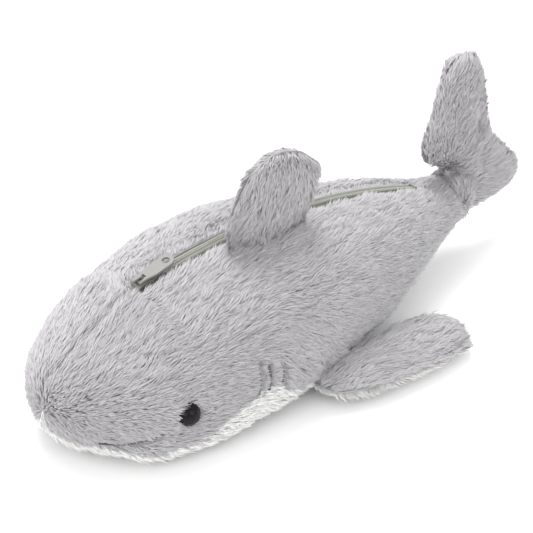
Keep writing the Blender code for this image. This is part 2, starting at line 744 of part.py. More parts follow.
def dorsal_fin(fur, fibre):
    start = NOSE_X + DORSAL_FROM_NOSE
    middle = start + DORSAL_MIDDLE
    place = place_at(middle)
    root = float(surface(place, angle_at_side(place, DORSAL_SIDE))[2]) + DORSAL_ROOT_GAP
    u = chord_shares(9)[None, :]
    v = np.array([0.0, 0.12, 0.27, 0.42, 0.57, 0.70, 0.82, 0.92, 1.0])[:, None]

    def grid(inset, side, least, relief):
        front = curve(DORSAL_FRONT, v) + inset + relief
        rear = curve(DORSAL_REAR, v) - inset - relief
        a = front + (rear - front) * u
        b = v * (DORSAL_HEIGHT - inset - relief) + 0 * u
        swell = DORSAL_HALF_THICKNESS * curve(DORSAL_SWELL, v) * lens(u)
        half = np.maximum(swell - inset - relief, least)
        lean = 0.06 * b
        fall = 0.035 * (a - DORSAL_MIDDLE)
        return np.stack([start + a, -DORSAL_SIDE - side * half - lean, root + b - fall], -1)

    panels = (("panel_left", 1, fur), ("panel_right", -1, fur))
    fin_pieces("dorsal_fin", grid, panels, fibre, Vector((middle, -DORSAL_SIDE, root)))


# Leading and trailing edges from root to tip: distance back from the fin's front, and out
# from the line along the body's side that the root is sewn to
PECTORAL_LEAD = (
    (0.000, 0.0007),
    (0.004, 0.0084),
    (0.016, 0.0186),
    (0.036, 0.0272),
    (0.060, 0.0355),
    (0.078, 0.0418),
    (0.092, 0.0428),
    (0.102, 0.0366),
)
PECTORAL_TRAIL = (
    (0.050, 0.0007),
    (0.062, -0.0001),
    (0.076, -0.0011),
    (0.088, -0.0009),
    (0.096, 0.0015),
    (0.102, 0.0061),
    (0.107, 0.0135),
    (0.108, 0.0227),
)
PECTORAL_CENTRE = ((0.0, 0.0130), (0.35, 0.0110), (1.0, 0.0090))
PECTORAL_SWELL = ((0.0, 0.75), (0.4, 1.0), (0.8, 0.9), (0.95, 0.55), (1.0, 0.0))
PECTORAL_HINGE = (0.025, 0.0012, 0.0195)


def pectoral_fins(fur, white, fibre):
    shares = np.linspace(0, 1, len(PECTORAL_LEAD))
    u = chord_shares(8)[None, :]
    v = np.array([0.0, 0.07, 0.18, 0.32, 0.46, 0.60, 0.74, 0.86, 0.94, 1.0])[:, None]
    start = NOSE_X + PECTORAL_FROM_NOSE
    root_end = PECTORAL_TRAIL[0][0]
    front_side, rear_side = section(place_at(start + np.array([0.0, root_end])))[1]

    def edge(points, k, at):
        return curve([(share, point[k]) for share, point in zip(shares, points)], at)

    def body_side(back):
        """The line along the body's side that the fin's root is sewn to."""
        return front_side + (rear_side - front_side) * back / root_end

    def grid(inset, up, least, relief):
        pulled = np.clip(v, 4 * inset, 1 - 9 * (inset + relief))
        front = [edge(PECTORAL_LEAD, k, pulled) for k in (0, 1)]
        rear = [edge(PECTORAL_TRAIL, k, pulled) for k in (0, 1)]
        chord = np.hypot(rear[0] - front[0], rear[1] - front[1])
        share = (inset + relief) / chord + (1 - 2 * (inset + relief) / chord) * u
        back, out = (front[k] + (rear[k] - front[k]) * share for k in (0, 1))
        half = PECTORAL_HALF_THICKNESS * curve(PECTORAL_SWELL, v) * lens(u) - inset - relief
        z = curve(PECTORAL_CENTRE, v) + up * np.maximum(half, least)
        return np.stack([start + back, mirror * (out + body_side(back)), z], -1)

    for name, mirror in (("left", -1), ("right", 1)):
        hinge_side = PECTORAL_HINGE[1] + float(body_side(PECTORAL_HINGE[0]))
        origin = Vector((start + PECTORAL_HINGE[0], mirror * hinge_side, PECTORAL_HINGE[2]))
        panels = (("upper", 1, fur), ("lower", -1, white))
        fin_pieces(f"pectoral_{name}", grid, panels, fibre, origin)


# Tail rows from the lower edge up: height, front and rear, from the end of the stalk
TAIL_ROWS = (
    (0.0225, 0.004, 0.026),
    (0.0250, 0.000, 0.054),
    (0.0310, 0.000, 0.064),
    (0.0380, 0.000, 0.065),
    (0.0460, 0.000, 0.059),
    (0.0540, 0.000, 0.050),
    (0.0620, -0.007, 0.042),
    (0.0690, -0.022, 0.036),
    (0.0800, -0.027, 0.033),
    (0.0960, -0.022, 0.030),
    (0.1120, -0.018, 0.026),
    (0.1240, -0.014, 0.020),
    (0.1310, -0.009, 0.014),
    (0.1345, -0.003, 0.006),
)
TAIL_ROOT = 0.034  # over this length the stalk's round section turns into the flat blade


def tail_fin(fur, fibre):
    start = SEAM_X + STALK_LENGTH + SEAM_GAP
    table = np.array(TAIL_ROWS)
    height = table[-1, 0] - table[0, 0]
    v = ((table[:, 0] - table[0, 0]) / height)[:, None]
    u = chord_shares(9)[None, :]
    middle = (STALK_END_TOP + STALK_END_BOTTOM) / 2
    tall = (STALK_END_TOP - STALK_END_BOTTOM) / 2

    def grid(inset, side, least, relief):
        depth = inset + relief
        b = table[0, 0] + depth + v * (height - 2 * depth) + 0 * u
        front, rear = (np.interp(b, table[:, 0], table[:, k]) for k in (1, 2))
        a = front + depth + (rear - front - 2 * depth) * u
        edge = np.minimum(b - table[0, 0], table[-1, 0] - b)
        rounding = np.sqrt(np.clip(edge / (0.06 * height), 0, 1))
        blade = TAIL_HALF_THICKNESS * lens((a - front) / (rear - front)) * rounding
        ellipse = STALK_END_HALF_WIDTH * np.sqrt(np.clip(1 - ((b - middle) / tall) ** 2, 0, 1))
        stalk = ellipse * (1 - step(a / TAIL_ROOT))
        half = np.maximum(np.maximum(blade, stalk) - depth, least)
        return np.stack([start + a, -side * half, b], -1)

    panels = (("panel_left", 1, fur), ("panel_right", -1, fur))
    fin_pieces("tail_fin", grid, panels, fibre, Vector((SEAM_X + STALK_LENGTH / 2, 0, 0)))


def stalk_panels(fur):
    """The soft sleeve that folds when the tail wags."""
    places = place_at(np.linspace(SEAM_X + SEAM_GAP, SEAM_X + STALK_LENGTH, 4))
    origin = Vector((SEAM_X + STALK_LENGTH / 2, 0, 0))
    for name, side in (("left", 1), ("right", -1)):
        upper = angle_at_side(places, SEAM_GAP / 2)
        shares = np.linspace(0, 1, 11)[None, :]
        angles = (upper[:, None] + (math.pi - 2 * upper)[:, None] * shares) * side
        grid_places = np.repeat(places[:, None], 11, axis=1)
        grids = [inside(grid_places, angles, depth) for depth in (0.0, FIN_PANEL)]
        slab(f"stalk_panel_{name}", *grids, fur, origin)


def build():
    clear_scene()
    fur = material("grey_fur", (0.42, 0.42, 0.44), 0.95)
    white = material("white_fur", (0.80, 0.80, 0.79), 0.95)
    cloth = material("lining_cloth", (0.55, 0.56, 0.52), 0.85)
    fibre = material("polyester_fibre", (0.85, 0.85, 0.85), 0.95)
    tape_cloth = material("zip_tape_cloth", (0.47, 0.48, 0.41), 0.85)
    nylon = material("coil_nylon", (0.42, 0.43, 0.38), 0.45)
    steel = material("slider_metal", (0.52, 0.52, 0.51), 0.35, 0.9)
    black = material("eye_plastic", (0.01, 0.01, 0.01), 0.12)
    plastic = material("washer_plastic", (0.8, 0.8, 0.78), 0.5)
    cotton = material("stitch_thread", (0.25, 0.25, 0.26), 0.9)
    panels = side_panels(fur)
    belly_panel(white)
    lining_bag(cloth)
    filling = head_filling(fibre)
    eyes(panels, filling, black, plastic)
    tucks(cotton)
    zip_halves(tape_cloth, nylon, steel)
    _, plate_top = slider(steel)
    slider_crown(steel, plate_top)
    pull_tab(steel, plate_top)
    dorsal_fin(fur, fibre)
    pectoral_fins(fur, white, fibre)
    stalk_panels(fur)
    tail_fin(fur, fibre)


build()
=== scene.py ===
"""Looks of the plush shark zip pouch: fur, zipper, eyes, seams, light and camera."""

import math

import bpy
import numpy as np
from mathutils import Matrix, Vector


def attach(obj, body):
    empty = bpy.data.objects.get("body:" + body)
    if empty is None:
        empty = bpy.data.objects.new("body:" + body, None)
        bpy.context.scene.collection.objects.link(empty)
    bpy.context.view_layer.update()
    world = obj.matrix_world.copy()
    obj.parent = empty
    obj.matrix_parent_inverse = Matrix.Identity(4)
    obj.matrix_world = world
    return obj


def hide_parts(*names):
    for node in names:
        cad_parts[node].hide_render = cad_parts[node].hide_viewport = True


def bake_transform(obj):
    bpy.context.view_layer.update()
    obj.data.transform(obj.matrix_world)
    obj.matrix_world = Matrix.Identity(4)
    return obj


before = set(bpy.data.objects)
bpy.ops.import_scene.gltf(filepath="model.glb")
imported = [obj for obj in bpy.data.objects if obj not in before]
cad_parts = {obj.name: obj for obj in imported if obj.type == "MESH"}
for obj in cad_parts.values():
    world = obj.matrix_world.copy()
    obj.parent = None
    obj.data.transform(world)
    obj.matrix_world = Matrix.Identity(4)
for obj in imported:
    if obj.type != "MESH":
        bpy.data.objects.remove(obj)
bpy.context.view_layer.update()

# Sizes that the CAD part's surface is made from, in metres and radians
BODY_LENGTH = 0.296
BODY_HALF_WIDTH = 0.068
BODY_HEIGHT = 0.088
NOSE_X = -0.156
SEAM_X = NOSE_X + BODY_LENGTH
STALK_LENGTH = 0.018
STALK_END_HALF_WIDTH = 0.016
STALK_END_TOP = 0.054
STALK_END_BOTTOM = 0.022
ZIP_FROM_NOSE = 0.062
ZIP_CHORD = 0.224
ZIP_FRONT_HEIGHT = 0.0764
ZIP_REAR_HEIGHT = 0.0543
ZIP_BULGE = 0.0166
ZIP_DEPTH = 0.0050  # from the fur's top down to the tape
SLIT_HALF_WIDTH = 0.007
SEAM_GAP = 0.0004
# Shares of the length and half width, lowest and side line's heights, squareness over and under it
STATIONS = (
    (0.000, 0.009, 0.0294, 0.0300, 2.0, 2.0),
    (0.005, 0.132, 0.0210, 0.0295, 2.0, 2.0),
    (0.020, 0.294, 0.0120, 0.0280, 2.0, 2.0),
    (0.047, 0.456, 0.0055, 0.0260, 2.0, 2.3),
    (0.095, 0.665, 0.0010, 0.0230, 2.0, 3.0),
    (0.155, 0.835, -0.0012, 0.0210, 2.0, 3.4),
    (0.230, 0.925, -0.0012, 0.0210, 2.1, 3.6),
    (0.307, 0.975, -0.0012, 0.0240, 2.3, 3.6),
    (0.392, 1.000, -0.0012, 0.0270, 2.5, 3.4),
    (0.493, 0.975, -0.0012, 0.0290, 2.5, 3.0),
    (0.611, 0.880, -0.0008, 0.0300, 2.3, 2.6),
    (0.730, 0.750, 0.0020, 0.0310, 2.3, 2.4),
    (0.831, 0.618, 0.0060, 0.0340, 2.2, 2.2),
    (0.926, 0.470, 0.0105, 0.0370, 2.1, 2.0),
    (1.000, 0.345, 0.0160, 0.0400, 2.0, 2.0),
)
# Shares of the length and height
HEAD_TOP = (
    (0.000, 0.348),
    (0.005, 0.466),
    (0.020, 0.568),
    (0.047, 0.642),
    (0.095, 0.727),
    (0.155, 0.818),
)
SEAM_TOP = 0.630
# Share of the length, and angle from the top
BELLY_SEAM = (
    (0.00, 2.60),
    (0.04, 2.15),
    (0.083, 1.84),
    (0.15, 1.72),
    (0.20, 1.66),
    (0.27, 1.56),
    (0.33, 1.53),
    (0.39, 1.56),
    (0.46, 1.80),
    (0.56, 2.06),
    (0.80, 2.20),
    (1.00, 2.40),
)

FUR_DEPTH = 0.0044  # from the CAD's outside down to the cloth that the fur grows on
FIN_FUR_DEPTH = 0.0034
CLOTH = 0.0011  # thickness of the cloth under the fur
TUFT_LENGTH = 0.0072
TUFT_WIDTH = 0.00052
TUFT_BEND = 0.45  # share of a tuft's length that lies before its bend
TUFT_LIMIT = 19000  # most tufts in one piece
TUFTS_PER_MM2 = 2.0
ROOT_RISE, TIP_RISE = 1.35, 0.55  # lift of a tuft's lower and upper part, as shares of its own
CLUMP_SIZE, SWAY_SIZE, BROAD_SIZE = 0.0021, 0.0034, 0.009  # how far apart the fur's differences lie
CLUMP_STRETCH = 0.72  # share of a distance along the nap that a clump ignores
LEAST_LIFT, MOST_LIFT = math.radians(3), math.radians(55)
SOFTNESS = 0.55  # how far a tuft's shading leans towards the cloth's own
FLOOR_CLEARANCE = 0.00005
FLOOR_DROP = 0.0003

rng = np.random.default_rng(7)


def curve(points, at):
    """A smooth curve through (place, value) points that never overshoots them."""
    places, values = np.array(points, float).T
    steps = np.diff(places)
    slopes = np.diff(values) / steps
    tangents = np.concatenate([slopes[:1], np.zeros(len(slopes) - 1), slopes[-1:]])
    for i in range(1, len(slopes)):
        if slopes[i - 1] * slopes[i] > 0:
            before = 2 * steps[i] + steps[i - 1]
            after = steps[i] + 2 * steps[i - 1]
            tangents[i] = (before + after) / (before / slopes[i - 1] + after / slopes[i])
    at = np.clip(np.asarray(at, float), places[0], places[-1])
    i = np.clip(np.searchsorted(places, at) - 1, 0, len(steps) - 1)
    t = (at - places[i]) / steps[i]
    rise = values[i] * (2 * t**3 - 3 * t**2 + 1) + values[i + 1] * (3 * t**2 - 2 * t**3)
    return rise + steps[i] * (tangents[i] * (t**3 - 2 * t**2 + t) + tangents[i + 1] * (t**3 - t**2))


def step(value):
    """A smooth rise from 0 to 1."""
    t = np.clip(value, 0.0, 1.0)
    return t * t * (3 - 2 * t)


def bump(value, width):
    """A smooth hump, 1 at 0 and nearly gone at twice the width."""
    return np.exp(-((value / width) ** 2))


def lattice(cell, seed):
    """A repeatable value from -1 to 1 for each whole-number cell."""
    mixed = cell @ np.array([127.1, 311.7, 74.7][: cell.shape[-1]]) + seed * 19.19
    return 2 * np.modf(np.abs(np.sin(mixed) * 43758.5453))[0] - 1


def noise(points, size, seed):
    """Smooth noise from -1 to 1 over points, with bumps about size apart."""
    scaled = np.asarray(points, float) / size
    base = np.floor(scaled)
    part = scaled - base
    part = part * part * (3 - 2 * part)
    total = np.zeros(scaled.shape[:-1])
    dims = scaled.shape[-1]
    for corner in range(2**dims):
        pick = np.array([(corner >> k) & 1 for k in range(dims)])
        weight = np.prod(np.where(pick, part, 1 - part), -1)
        total += weight * lattice(base + pick, seed)
    return total


# ------------------------------------------------------------- the body's surface

ROWS = [
    (share * BODY_LENGTH + NOSE_X, width * BODY_HALF_WIDTH, *rest)
    for share, width, *rest in STATIONS
]
STALK_MIDDLE = (STALK_END_TOP + STALK_END_BOTTOM) / 2
STALK_HALF_HEIGHT = (STALK_END_TOP - STALK_END_BOTTOM) / 2
ROWS.append((SEAM_X + STALK_LENGTH, STALK_END_HALF_WIDTH, STALK_END_BOTTOM, STALK_MIDDLE, 2.0, 2.0))
ROWS = np.array(ROWS)
LAST = len(ROWS) - 1


def zip_arc():
    """Centre (x, z) and radius of the zipper's arc, and the angles of its ends from straight up."""
    front = np.array([NOSE_X + ZIP_FROM_NOSE, ZIP_FRONT_HEIGHT])
    rear = front + np.array([ZIP_CHORD, ZIP_REAR_HEIGHT - ZIP_FRONT_HEIGHT])
    half = np.linalg.norm(rear - front) / 2
    radius = (half**2 + ZIP_BULGE**2) / (2 * ZIP_BULGE)
    down = np.array([rear[1] - front[1], front[0] - rear[0]]) / (2 * half)
    centre = (front + rear) / 2 + down * (radius - ZIP_BULGE)
    angles = [math.asin((end[0] - centre[0]) / radius) for end in (front, rear)]
    return centre, radius, angles[0], angles[1]


ZIP_CENTRE, ZIP_RADIUS, ZIP_START, ZIP_END = zip_arc()
ZIP_LENGTH = (ZIP_END - ZIP_START) * ZIP_RADIUS
ZIP_X = (NOSE_X + ZIP_FROM_NOSE, NOSE_X + ZIP_FROM_NOSE + ZIP_CHORD)


def zip_height(x):
    return ZIP_CENTRE[1] + np.sqrt(ZIP_RADIUS**2 - (x - ZIP_CENTRE[0]) ** 2)


HEAD_CURVE = [(NOSE_X + share * BODY_LENGTH, height * BODY_HEIGHT) for share, height in HEAD_TOP]
HEAD_CURVE.append((ZIP_X[0], float(zip_height(ZIP_X[0])) + ZIP_DEPTH))
REAR_CURVE = [
    (ZIP_X[1], float(zip_height(ZIP_X[1])) + ZIP_DEPTH),
    (SEAM_X, SEAM_TOP * BODY_HEIGHT),
    (SEAM_X + STALK_LENGTH, STALK_END_TOP),
]


def top_height(x):
    over_zip = zip_height(np.clip(x, *ZIP_X)) + ZIP_DEPTH
    before_rear = np.where(x > ZIP_X[1], curve(REAR_CURVE, x), over_zip)
    return np.where(x < ZIP_X[0], curve(HEAD_CURVE, x), before_rear)


def section(place):
    columns = [curve(list(enumerate(ROWS[:, k])), place) for k in range(ROWS.shape[1])]
    return columns[0], columns[1], top_height(columns[0]), *columns[2:]


def surface(place, angle):
    """The CAD's outside; angle runs from 0 at the top to pi below, positive to the left."""
    x, half, top, bottom, side, square_top, square_low = section(place)
    cosine = np.cos(angle)
    sine = np.sin(angle)
    square = np.where(cosine > 0, square_top, square_low)
    reach = np.where(cosine > 0, top - side, side - bottom)
    y = -half * np.sign(sine) * np.abs(sine) ** (2 / square)
    z = side + reach * np.sign(cosine) * np.abs(cosine) ** (2 / square)
    return np.stack(np.broadcast_arrays(x, y, np.maximum(z, 0.0)), -1)


def place_at(x):
    dense = np.linspace(0, LAST, 4000)
    return np.interp(x, curve(list(enumerate(ROWS[:, 0])), dense), dense)


def angle_at_side(place, y):
    _, half, _, _, _, square, _ = section(place)
    return np.arcsin(np.clip(y / half, 0, 1) ** (square / 2))


def on_zip(along, y, height):
    """A point at a distance along the zipper's arc, y to its side and height over it."""
    angle = ZIP_START + np.asarray(along, float) / ZIP_RADIUS
    reach = ZIP_RADIUS + height
    x = ZIP_CENTRE[0] + reach * np.sin(angle)
    z = ZIP_CENTRE[1] + reach * np.cos(angle)
    return np.stack(np.broadcast_arrays(x, y, z), -1)


def slit_half_width(x):
    taper = 0.005
    open_share = step((x - ZIP_X[0]) / taper) * step((ZIP_X[1] - x) / taper)
    return SEAM_GAP / 2 + (SLIT_HALF_WIDTH - SEAM_GAP / 2) * open_share


# ------------------------------------------------------------------ mesh building


def unit(vectors):
    return vectors / np.maximum(np.linalg.norm(vectors, axis=-1, keepdims=True), 1e-12)


def new_mesh(name, points, faces, finish, smooth=True):
    mesh = bpy.data.meshes.new(name)
    mesh.from_pydata(np.asarray(points, float).tolist(), [], [tuple(int(k) for k in f) for f in faces])
    mesh.materials.append(finish)
    if smooth:
        mesh.shade_smooth()
    obj = bpy.data.objects.new(name, mesh)
    bpy.context.scene.collection.objects.link(obj)
    return obj


def grid_faces(rows, columns):
    i, j = np.meshgrid(np.arange(rows - 1), np.arange(columns - 1), indexing="ij")
    a = (i * columns + j).ravel()
    return np.stack([a, a + columns, a + columns + 1, a + 1], -1)


def closed_sheet(name, outer, inner, finish, flip=False):
    """A closed sheet between two grids of points."""
    rows, columns = outer.shape[:2]
    half = rows * columns
    faces = grid_faces(rows, columns)
    other = faces[:, ::-1] + half
    edge = list(range(columns)) + [i * columns + columns - 1 for i in range(1, rows)]
    edge += [(rows - 1) * columns + j for j in range(columns - 2, -1, -1)]
    edge += [i * columns for i in range(rows - 2, 0, -1)]
    rim = np.array([(a, b, b + half, a + half) for a, b in zip(edge, edge[1:] + edge[:1])])
    faces = np.concatenate([faces, other, rim])
    if flip:
        faces = faces[:, ::-1]
    return new_mesh(name, np.concatenate([outer.reshape(-1, 3), inner.reshape(-1, 3)]), faces, finish)


def grid_normals(points, outward):
    """Normals of a grid of points, turned to the side of the outward vectors."""
    along = np.gradient(points, axis=0)
    across = np.gradient(points, axis=1)
    normals = unit(np.cross(along, across))
    turn = np.sign((normals * outward).sum(-1, keepdims=True))
    turn[turn == 0] = 1
    return normals * turn


def tuft_mesh(name, root, ahead, up, length, width, lift, sway, finish):
    """Many closed, curved, tapered tufts as one mesh, each three-sided and ending in a point."""
    count = len(root)
    side = unit(np.cross(up, ahead))
    lean = unit(ahead + side * sway[:, None])
    side = unit(np.cross(up, lean))
    first, second = (
        unit(lean * np.cos(lift * rise)[:, None] + up * np.sin(lift * rise)[:, None])
        for rise in (ROOT_RISE, TIP_RISE)
    )
    middle = root + first * (length * TUFT_BEND)[:, None]
    tip = middle + second * (length * (1 - TUFT_BEND))[:, None]
    points = np.zeros((count, 7, 3))
    shape = ((1.0, 0.0), (-0.5, 0.75), (-0.5, -0.75))
    for ring, (centre, axis, scale) in enumerate(((root, first, 0.75), (middle, second, 1.0))):
        rise = unit(np.cross(axis, side))
        for k, (a, b) in enumerate(shape):
            spread = side * b + rise * a * 0.6
            points[:, ring * 3 + k] = centre + spread * (width * scale)[:, None]
    points[:, 6] = tip
    points[..., 2] = np.maximum(points[..., 2], FLOOR_CLEARANCE)
    quads = [(0, 1, 4), (0, 4, 3), (1, 2, 5), (1, 5, 4), (2, 0, 3), (2, 3, 5)]
    faces = np.array(quads + [(3, 4, 6), (4, 5, 6), (5, 3, 6), (0, 2, 1)])[:, ::-1]
    all_faces = (faces[None] + 7 * np.arange(count)[:, None, None]).reshape(-1, 3)
    mesh = bpy.data.meshes.new(name)
    mesh.vertices.add(count * 7)
    mesh.vertices.foreach_set("co", points.reshape(-1).astype(np.float32))
    mesh.loops.add(len(all_faces) * 3)
    mesh.loops.foreach_set("vertex_index", all_faces.reshape(-1).astype(np.int32))
    mesh.polygons.add(len(all_faces))
    mesh.polygons.foreach_set("loop_start", (np.arange(len(all_faces)) * 3).astype(np.int32))
    mesh.update(calc_edges=True)
    mesh.polygons.foreach_set("use_smooth", np.ones(len(all_faces), bool))
    core = np.stack([root, root, root, middle, middle, middle, root], 1)
    soft = unit(unit(points - core) + up[:, None] * SOFTNESS)
    mesh.normals_split_custom_set_from_vertices(soft.reshape(-1, 3).tolist())
    along = np.array([0, 0, 0, TUFT_BEND, TUFT_BEND, TUFT_BEND, 1.0])
    across = np.array([0.1, 0.4, 0.7, 0.1, 0.4, 0.7, 0.4])
    shade = rng.random(count)
    fibre = np.zeros((count, 7, 2))
    fibre[..., 0] = along
    fibre[..., 1] = shade[:, None]
    cells = int(math.ceil(math.sqrt(count)))
    place = np.stack([np.arange(count) % cells, np.arange(count) // cells], -1)
    bake = (place[:, None, :] + 0.1 + 0.8 * np.stack([along, across], -1)[None]) / cells
    loops = all_faces.reshape(-1)
    for layer, values in (("OFBake", bake), ("Fibre", fibre)):
        mesh.uv_layers.new(name=layer).data.foreach_set("uv", values.reshape(-1, 2)[loops].reshape(-1))
    mesh.materials.append(finish)
    obj = bpy.data.objects.new(name, mesh)
    bpy.context.scene.collection.objects.link(obj)
    return obj


def sampled(grids, count, weight):
    """Values of several grids at points spread evenly over the first grid's area, times weight."""
    points = grids[0]
    a = points[1:, :-1] - points[:-1, :-1]
    b = points[:-1, 1:] - points[:-1, :-1]
    area = np.linalg.norm(np.cross(a, b), axis=-1) * (weight[1:, 1:] + weight[:-1, :-1]) / 2
    share = np.cumsum(area.ravel())
    picked = np.searchsorted(share, rng.random(count) * share[-1])
    i, j = np.unravel_index(np.clip(picked, 0, area.size - 1), area.shape)
    s, t = rng.random(count)[:, None], rng.random(count)[:, None]
    found = []
    for grid in grids:
        grid = grid if grid.ndim == 3 else grid[..., None]
        low = grid[i, j] * (1 - s) + grid[i + 1, j] * s
        high = grid[i, j + 1] * (1 - s) + grid[i + 1, j + 1] * s
        found.append(low * (1 - t) + high * t)
    return found


def surface_area(points):
    a = points[1:, :-1] - points[:-1, :-1]
    b = points[:-1, 1:] - points[:-1, :-1]
    return float(np.linalg.norm(np.cross(a, b), axis=-1).sum())


def grow(name, skin, normals, nap, finish, options=None):
    """Tufts over a grid of cloth, lying along the nap.

    options are grids of how the tufts differ from place to place.
    """
    options = options or {}
    ones = np.ones(skin.shape[:2])
    ahead = unit(nap - normals * (nap * normals).sum(-1, keepdims=True))
    count = int(surface_area(skin) * 1e6 * TUFTS_PER_MM2 * options.get("density", 1.0))
    grids = [skin, normals, ahead, options.get("long", ones), options.get("flat", 0 * ones)]
    root, up, lean, size, press = sampled(grids, count, options.get("thick", ones))
    up, lean = unit(up), unit(lean)
    size, press = size[:, 0], press[:, 0]
    # Strands lie together in clumps: neighbours share their sway, lift and length
    stretched = root - lean * (root * lean).sum(-1, keepdims=True) * CLUMP_STRETCH
    clump = noise(stretched, CLUMP_SIZE, 11)
    broad = noise(root, BROAD_SIZE, 12)
    sway = 0.40 * noise(stretched, SWAY_SIZE, 13) + 0.30 * broad + 0.15 * rng.standard_normal(count)
    lift = np.radians(25 + 12 * clump + 5 * broad + 6 * rng.standard_normal(count)) * (1 - press)
    lift = np.clip(lift, LEAST_LIFT, MOST_LIFT)
    length = TUFT_LENGTH * size * (1 + 0.16 * clump + 0.13 * rng.standard_normal(count)).clip(0.45, 1.45)
    width = TUFT_WIDTH * (0.7 + 0.5 * rng.random(count)) * np.sqrt(size)
    pieces = []
    parts = int(math.ceil(count / TUFT_LIMIT))
    order = np.argsort(root[:, 0], kind="stable")
    for k, chosen in enumerate(np.array_split(order, parts)):
        label = f"{name}_fur" if parts == 1 else f"{name}_fur_{k + 1}"
        values = (a[chosen] for a in (root, lean, up, length, width, lift, sway))
        pieces.append(tuft_mesh(label, *values, finish))
    return pieces


def faces_in(points, outward):
    """Whether a grid's faces, in the order of its points, look away from the outward vector."""
    return (np.cross(points[1, 0] - points[0, 0], points[0, 1] - points[0, 0]) * outward).sum() < 0


def furry(name, outer, outward, nap, finish, skin_finish, options):
    """A piece of fur cloth: a closed sheet under the CAD's outside, and tufts that lie along the nap.

    outer is a grid of points on the CAD's outside; outward and nap are directions for each.
    """
    normals = grid_normals(outer, outward)
    ripple = 0
    for height, size, seed in ((0.0012, 0.027, 6), (0.0008, 0.012, 3), (0.0004, 0.005, 4)):
        ripple = ripple + height * noise(outer, size, seed)
    skin = outer - normals * (FUR_DEPTH + options["sink"] + ripple)[..., None]
    flip = faces_in(outer, outward[0, 0])
    sheet = closed_sheet(f"{name}_cloth", skin, skin - normals * CLOTH, skin_finish, flip)
    return sheet, grow(name, skin, normals, nap, finish, options)


def fin(name, grid, sides, nap, finishes, options=None):
    """A stuffed fin: one closed cloth body between its two faces, and tufts on both.

    grid(inset, side) gives a face, sides the way out of each face, and nap(points) the fur's lie.
    """
    faces = [grid(FIN_FUR_DEPTH, side) for side in (1, -1)]
    middle = (faces[0] + faces[1]) / 2
    centre = middle.mean(axis=(0, 1))
    pieces = []
    normals = []
    for face, away, (finish, label) in zip(faces, sides, finishes):
        bare = grid_normals(face, np.broadcast_to(away, face.shape))
        edge = unit(middle - centre)
        rim = np.linalg.norm(face - middle, axis=-1, keepdims=True)
        share = 1 - step(rim / (0.5 * rim.max()))
        normals.append(unit(bare + edge * share * 0.8))
        face = face - bare * (0.0005 * noise(face, 0.008, 5))[..., None]
        pieces += grow(f"{name}_{label}", face, normals[-1], nap(face), finish, options)
    flip = faces_in(faces[0], sides[0])
    body = closed_sheet(f"{name}_cloth", faces[0], faces[1], grey_cloth, flip)
    return body, pieces


# ----------------------------------------------------------------------- materials


def nodes_of(name):
    made = bpy.data.materials.new(name)
    made.use_nodes = True
    tree = made.node_tree
    return made, tree, tree.nodes["Principled BSDF"]


def noise_node(tree, scale, detail=3.0, rough=0.55, stretch=(1, 1, 1)):
    where = tree.nodes.new("ShaderNodeTexCoord")
    mapped = tree.nodes.new("ShaderNodeMapping")
    mapped.inputs["Scale"].default_value = stretch
    tree.links.new(where.outputs["Object"], mapped.inputs["Vector"])
    made = tree.nodes.new("ShaderNodeTexNoise")
    made.inputs["Scale"].default_value = scale
    made.inputs["Detail"].default_value = detail
    made.inputs["Roughness"].default_value = rough
    tree.links.new(mapped.outputs["Vector"], made.inputs["Vector"])
    return made


def ramp(tree, source, stops):
    made = tree.nodes.new("ShaderNodeValToRGB")
    made.color_ramp.elements[0].position = stops[0][0]
    made.color_ramp.elements[0].color = (*stops[0][1], 1)
    made.color_ramp.elements[1].position = stops[-1][0]
    made.color_ramp.elements[1].color = (*stops[-1][1], 1)
    for at, colour in stops[1:-1]:
        made.color_ramp.elements.new(at).color = (*colour, 1)
    tree.links.new(source, made.inputs["Fac"])
    return made


def mix(tree, kind, amount, first, second):
    made = tree.nodes.new("ShaderNodeMix")
    made.data_type = "RGBA"
    made.blend_type = kind
    made.inputs["Factor"].default_value = amount
    for value, socket in ((first, made.inputs["A"]), (second, made.inputs["B"])):
        tree.links.new(value, socket)
    return made.outputs["Result"]


def shades(colour, *amounts):
    return [tuple(c * a for c in colour) for a in amounts]


def fur_material(name, colour):
    """Strands with a painted shade gradient, dark at the root and pale at the tip, and small differences
    between strands.
    """
    made, tree, shader = nodes_of(name)
    fibre = tree.nodes.new("ShaderNodeUVMap")
    fibre.uv_map = "Fibre"
    parts = tree.nodes.new("ShaderNodeSeparateXYZ")
    tree.links.new(fibre.outputs["UV"], parts.inputs["Vector"])
    # Painted shade: the colour darkens towards the root, where the strands shade each other, and pales
    # towards the tip
    root, middle, tip = shades(colour, 0.60, 0.93, 1.10)
    along = ramp(tree, parts.outputs["X"], ((0.0, root), (0.4, middle), (1.0, tip)))
    strand = ramp(tree, parts.outputs["Y"], ((0.0, (0.90, 0.90, 0.905)), (1.0, (1.0, 1.0, 0.995))))
    patches = noise_node(tree, 38.0)
    tone = ramp(tree, patches.outputs["Fac"], ((0.3, (0.93, 0.93, 0.935)), (0.7, (1.0, 1.0, 1.0))))
    mixed = mix(tree, "MULTIPLY", 1.0, along.outputs["Color"], strand.outputs["Color"])
    mixed = mix(tree, "MULTIPLY", 1.0, mixed, tone.outputs["Color"])
    tree.links.new(mixed, shader.inputs["Base Color"])
    shader.inputs["Roughness"].default_value = 0.72
    shader.inputs["Specular IOR Level"].default_value = 0.25
    shader.inputs["Sheen Weight"].default_value = 0.25
    shader.inputs["Sheen Roughness"].default_value = 0.5
    return made


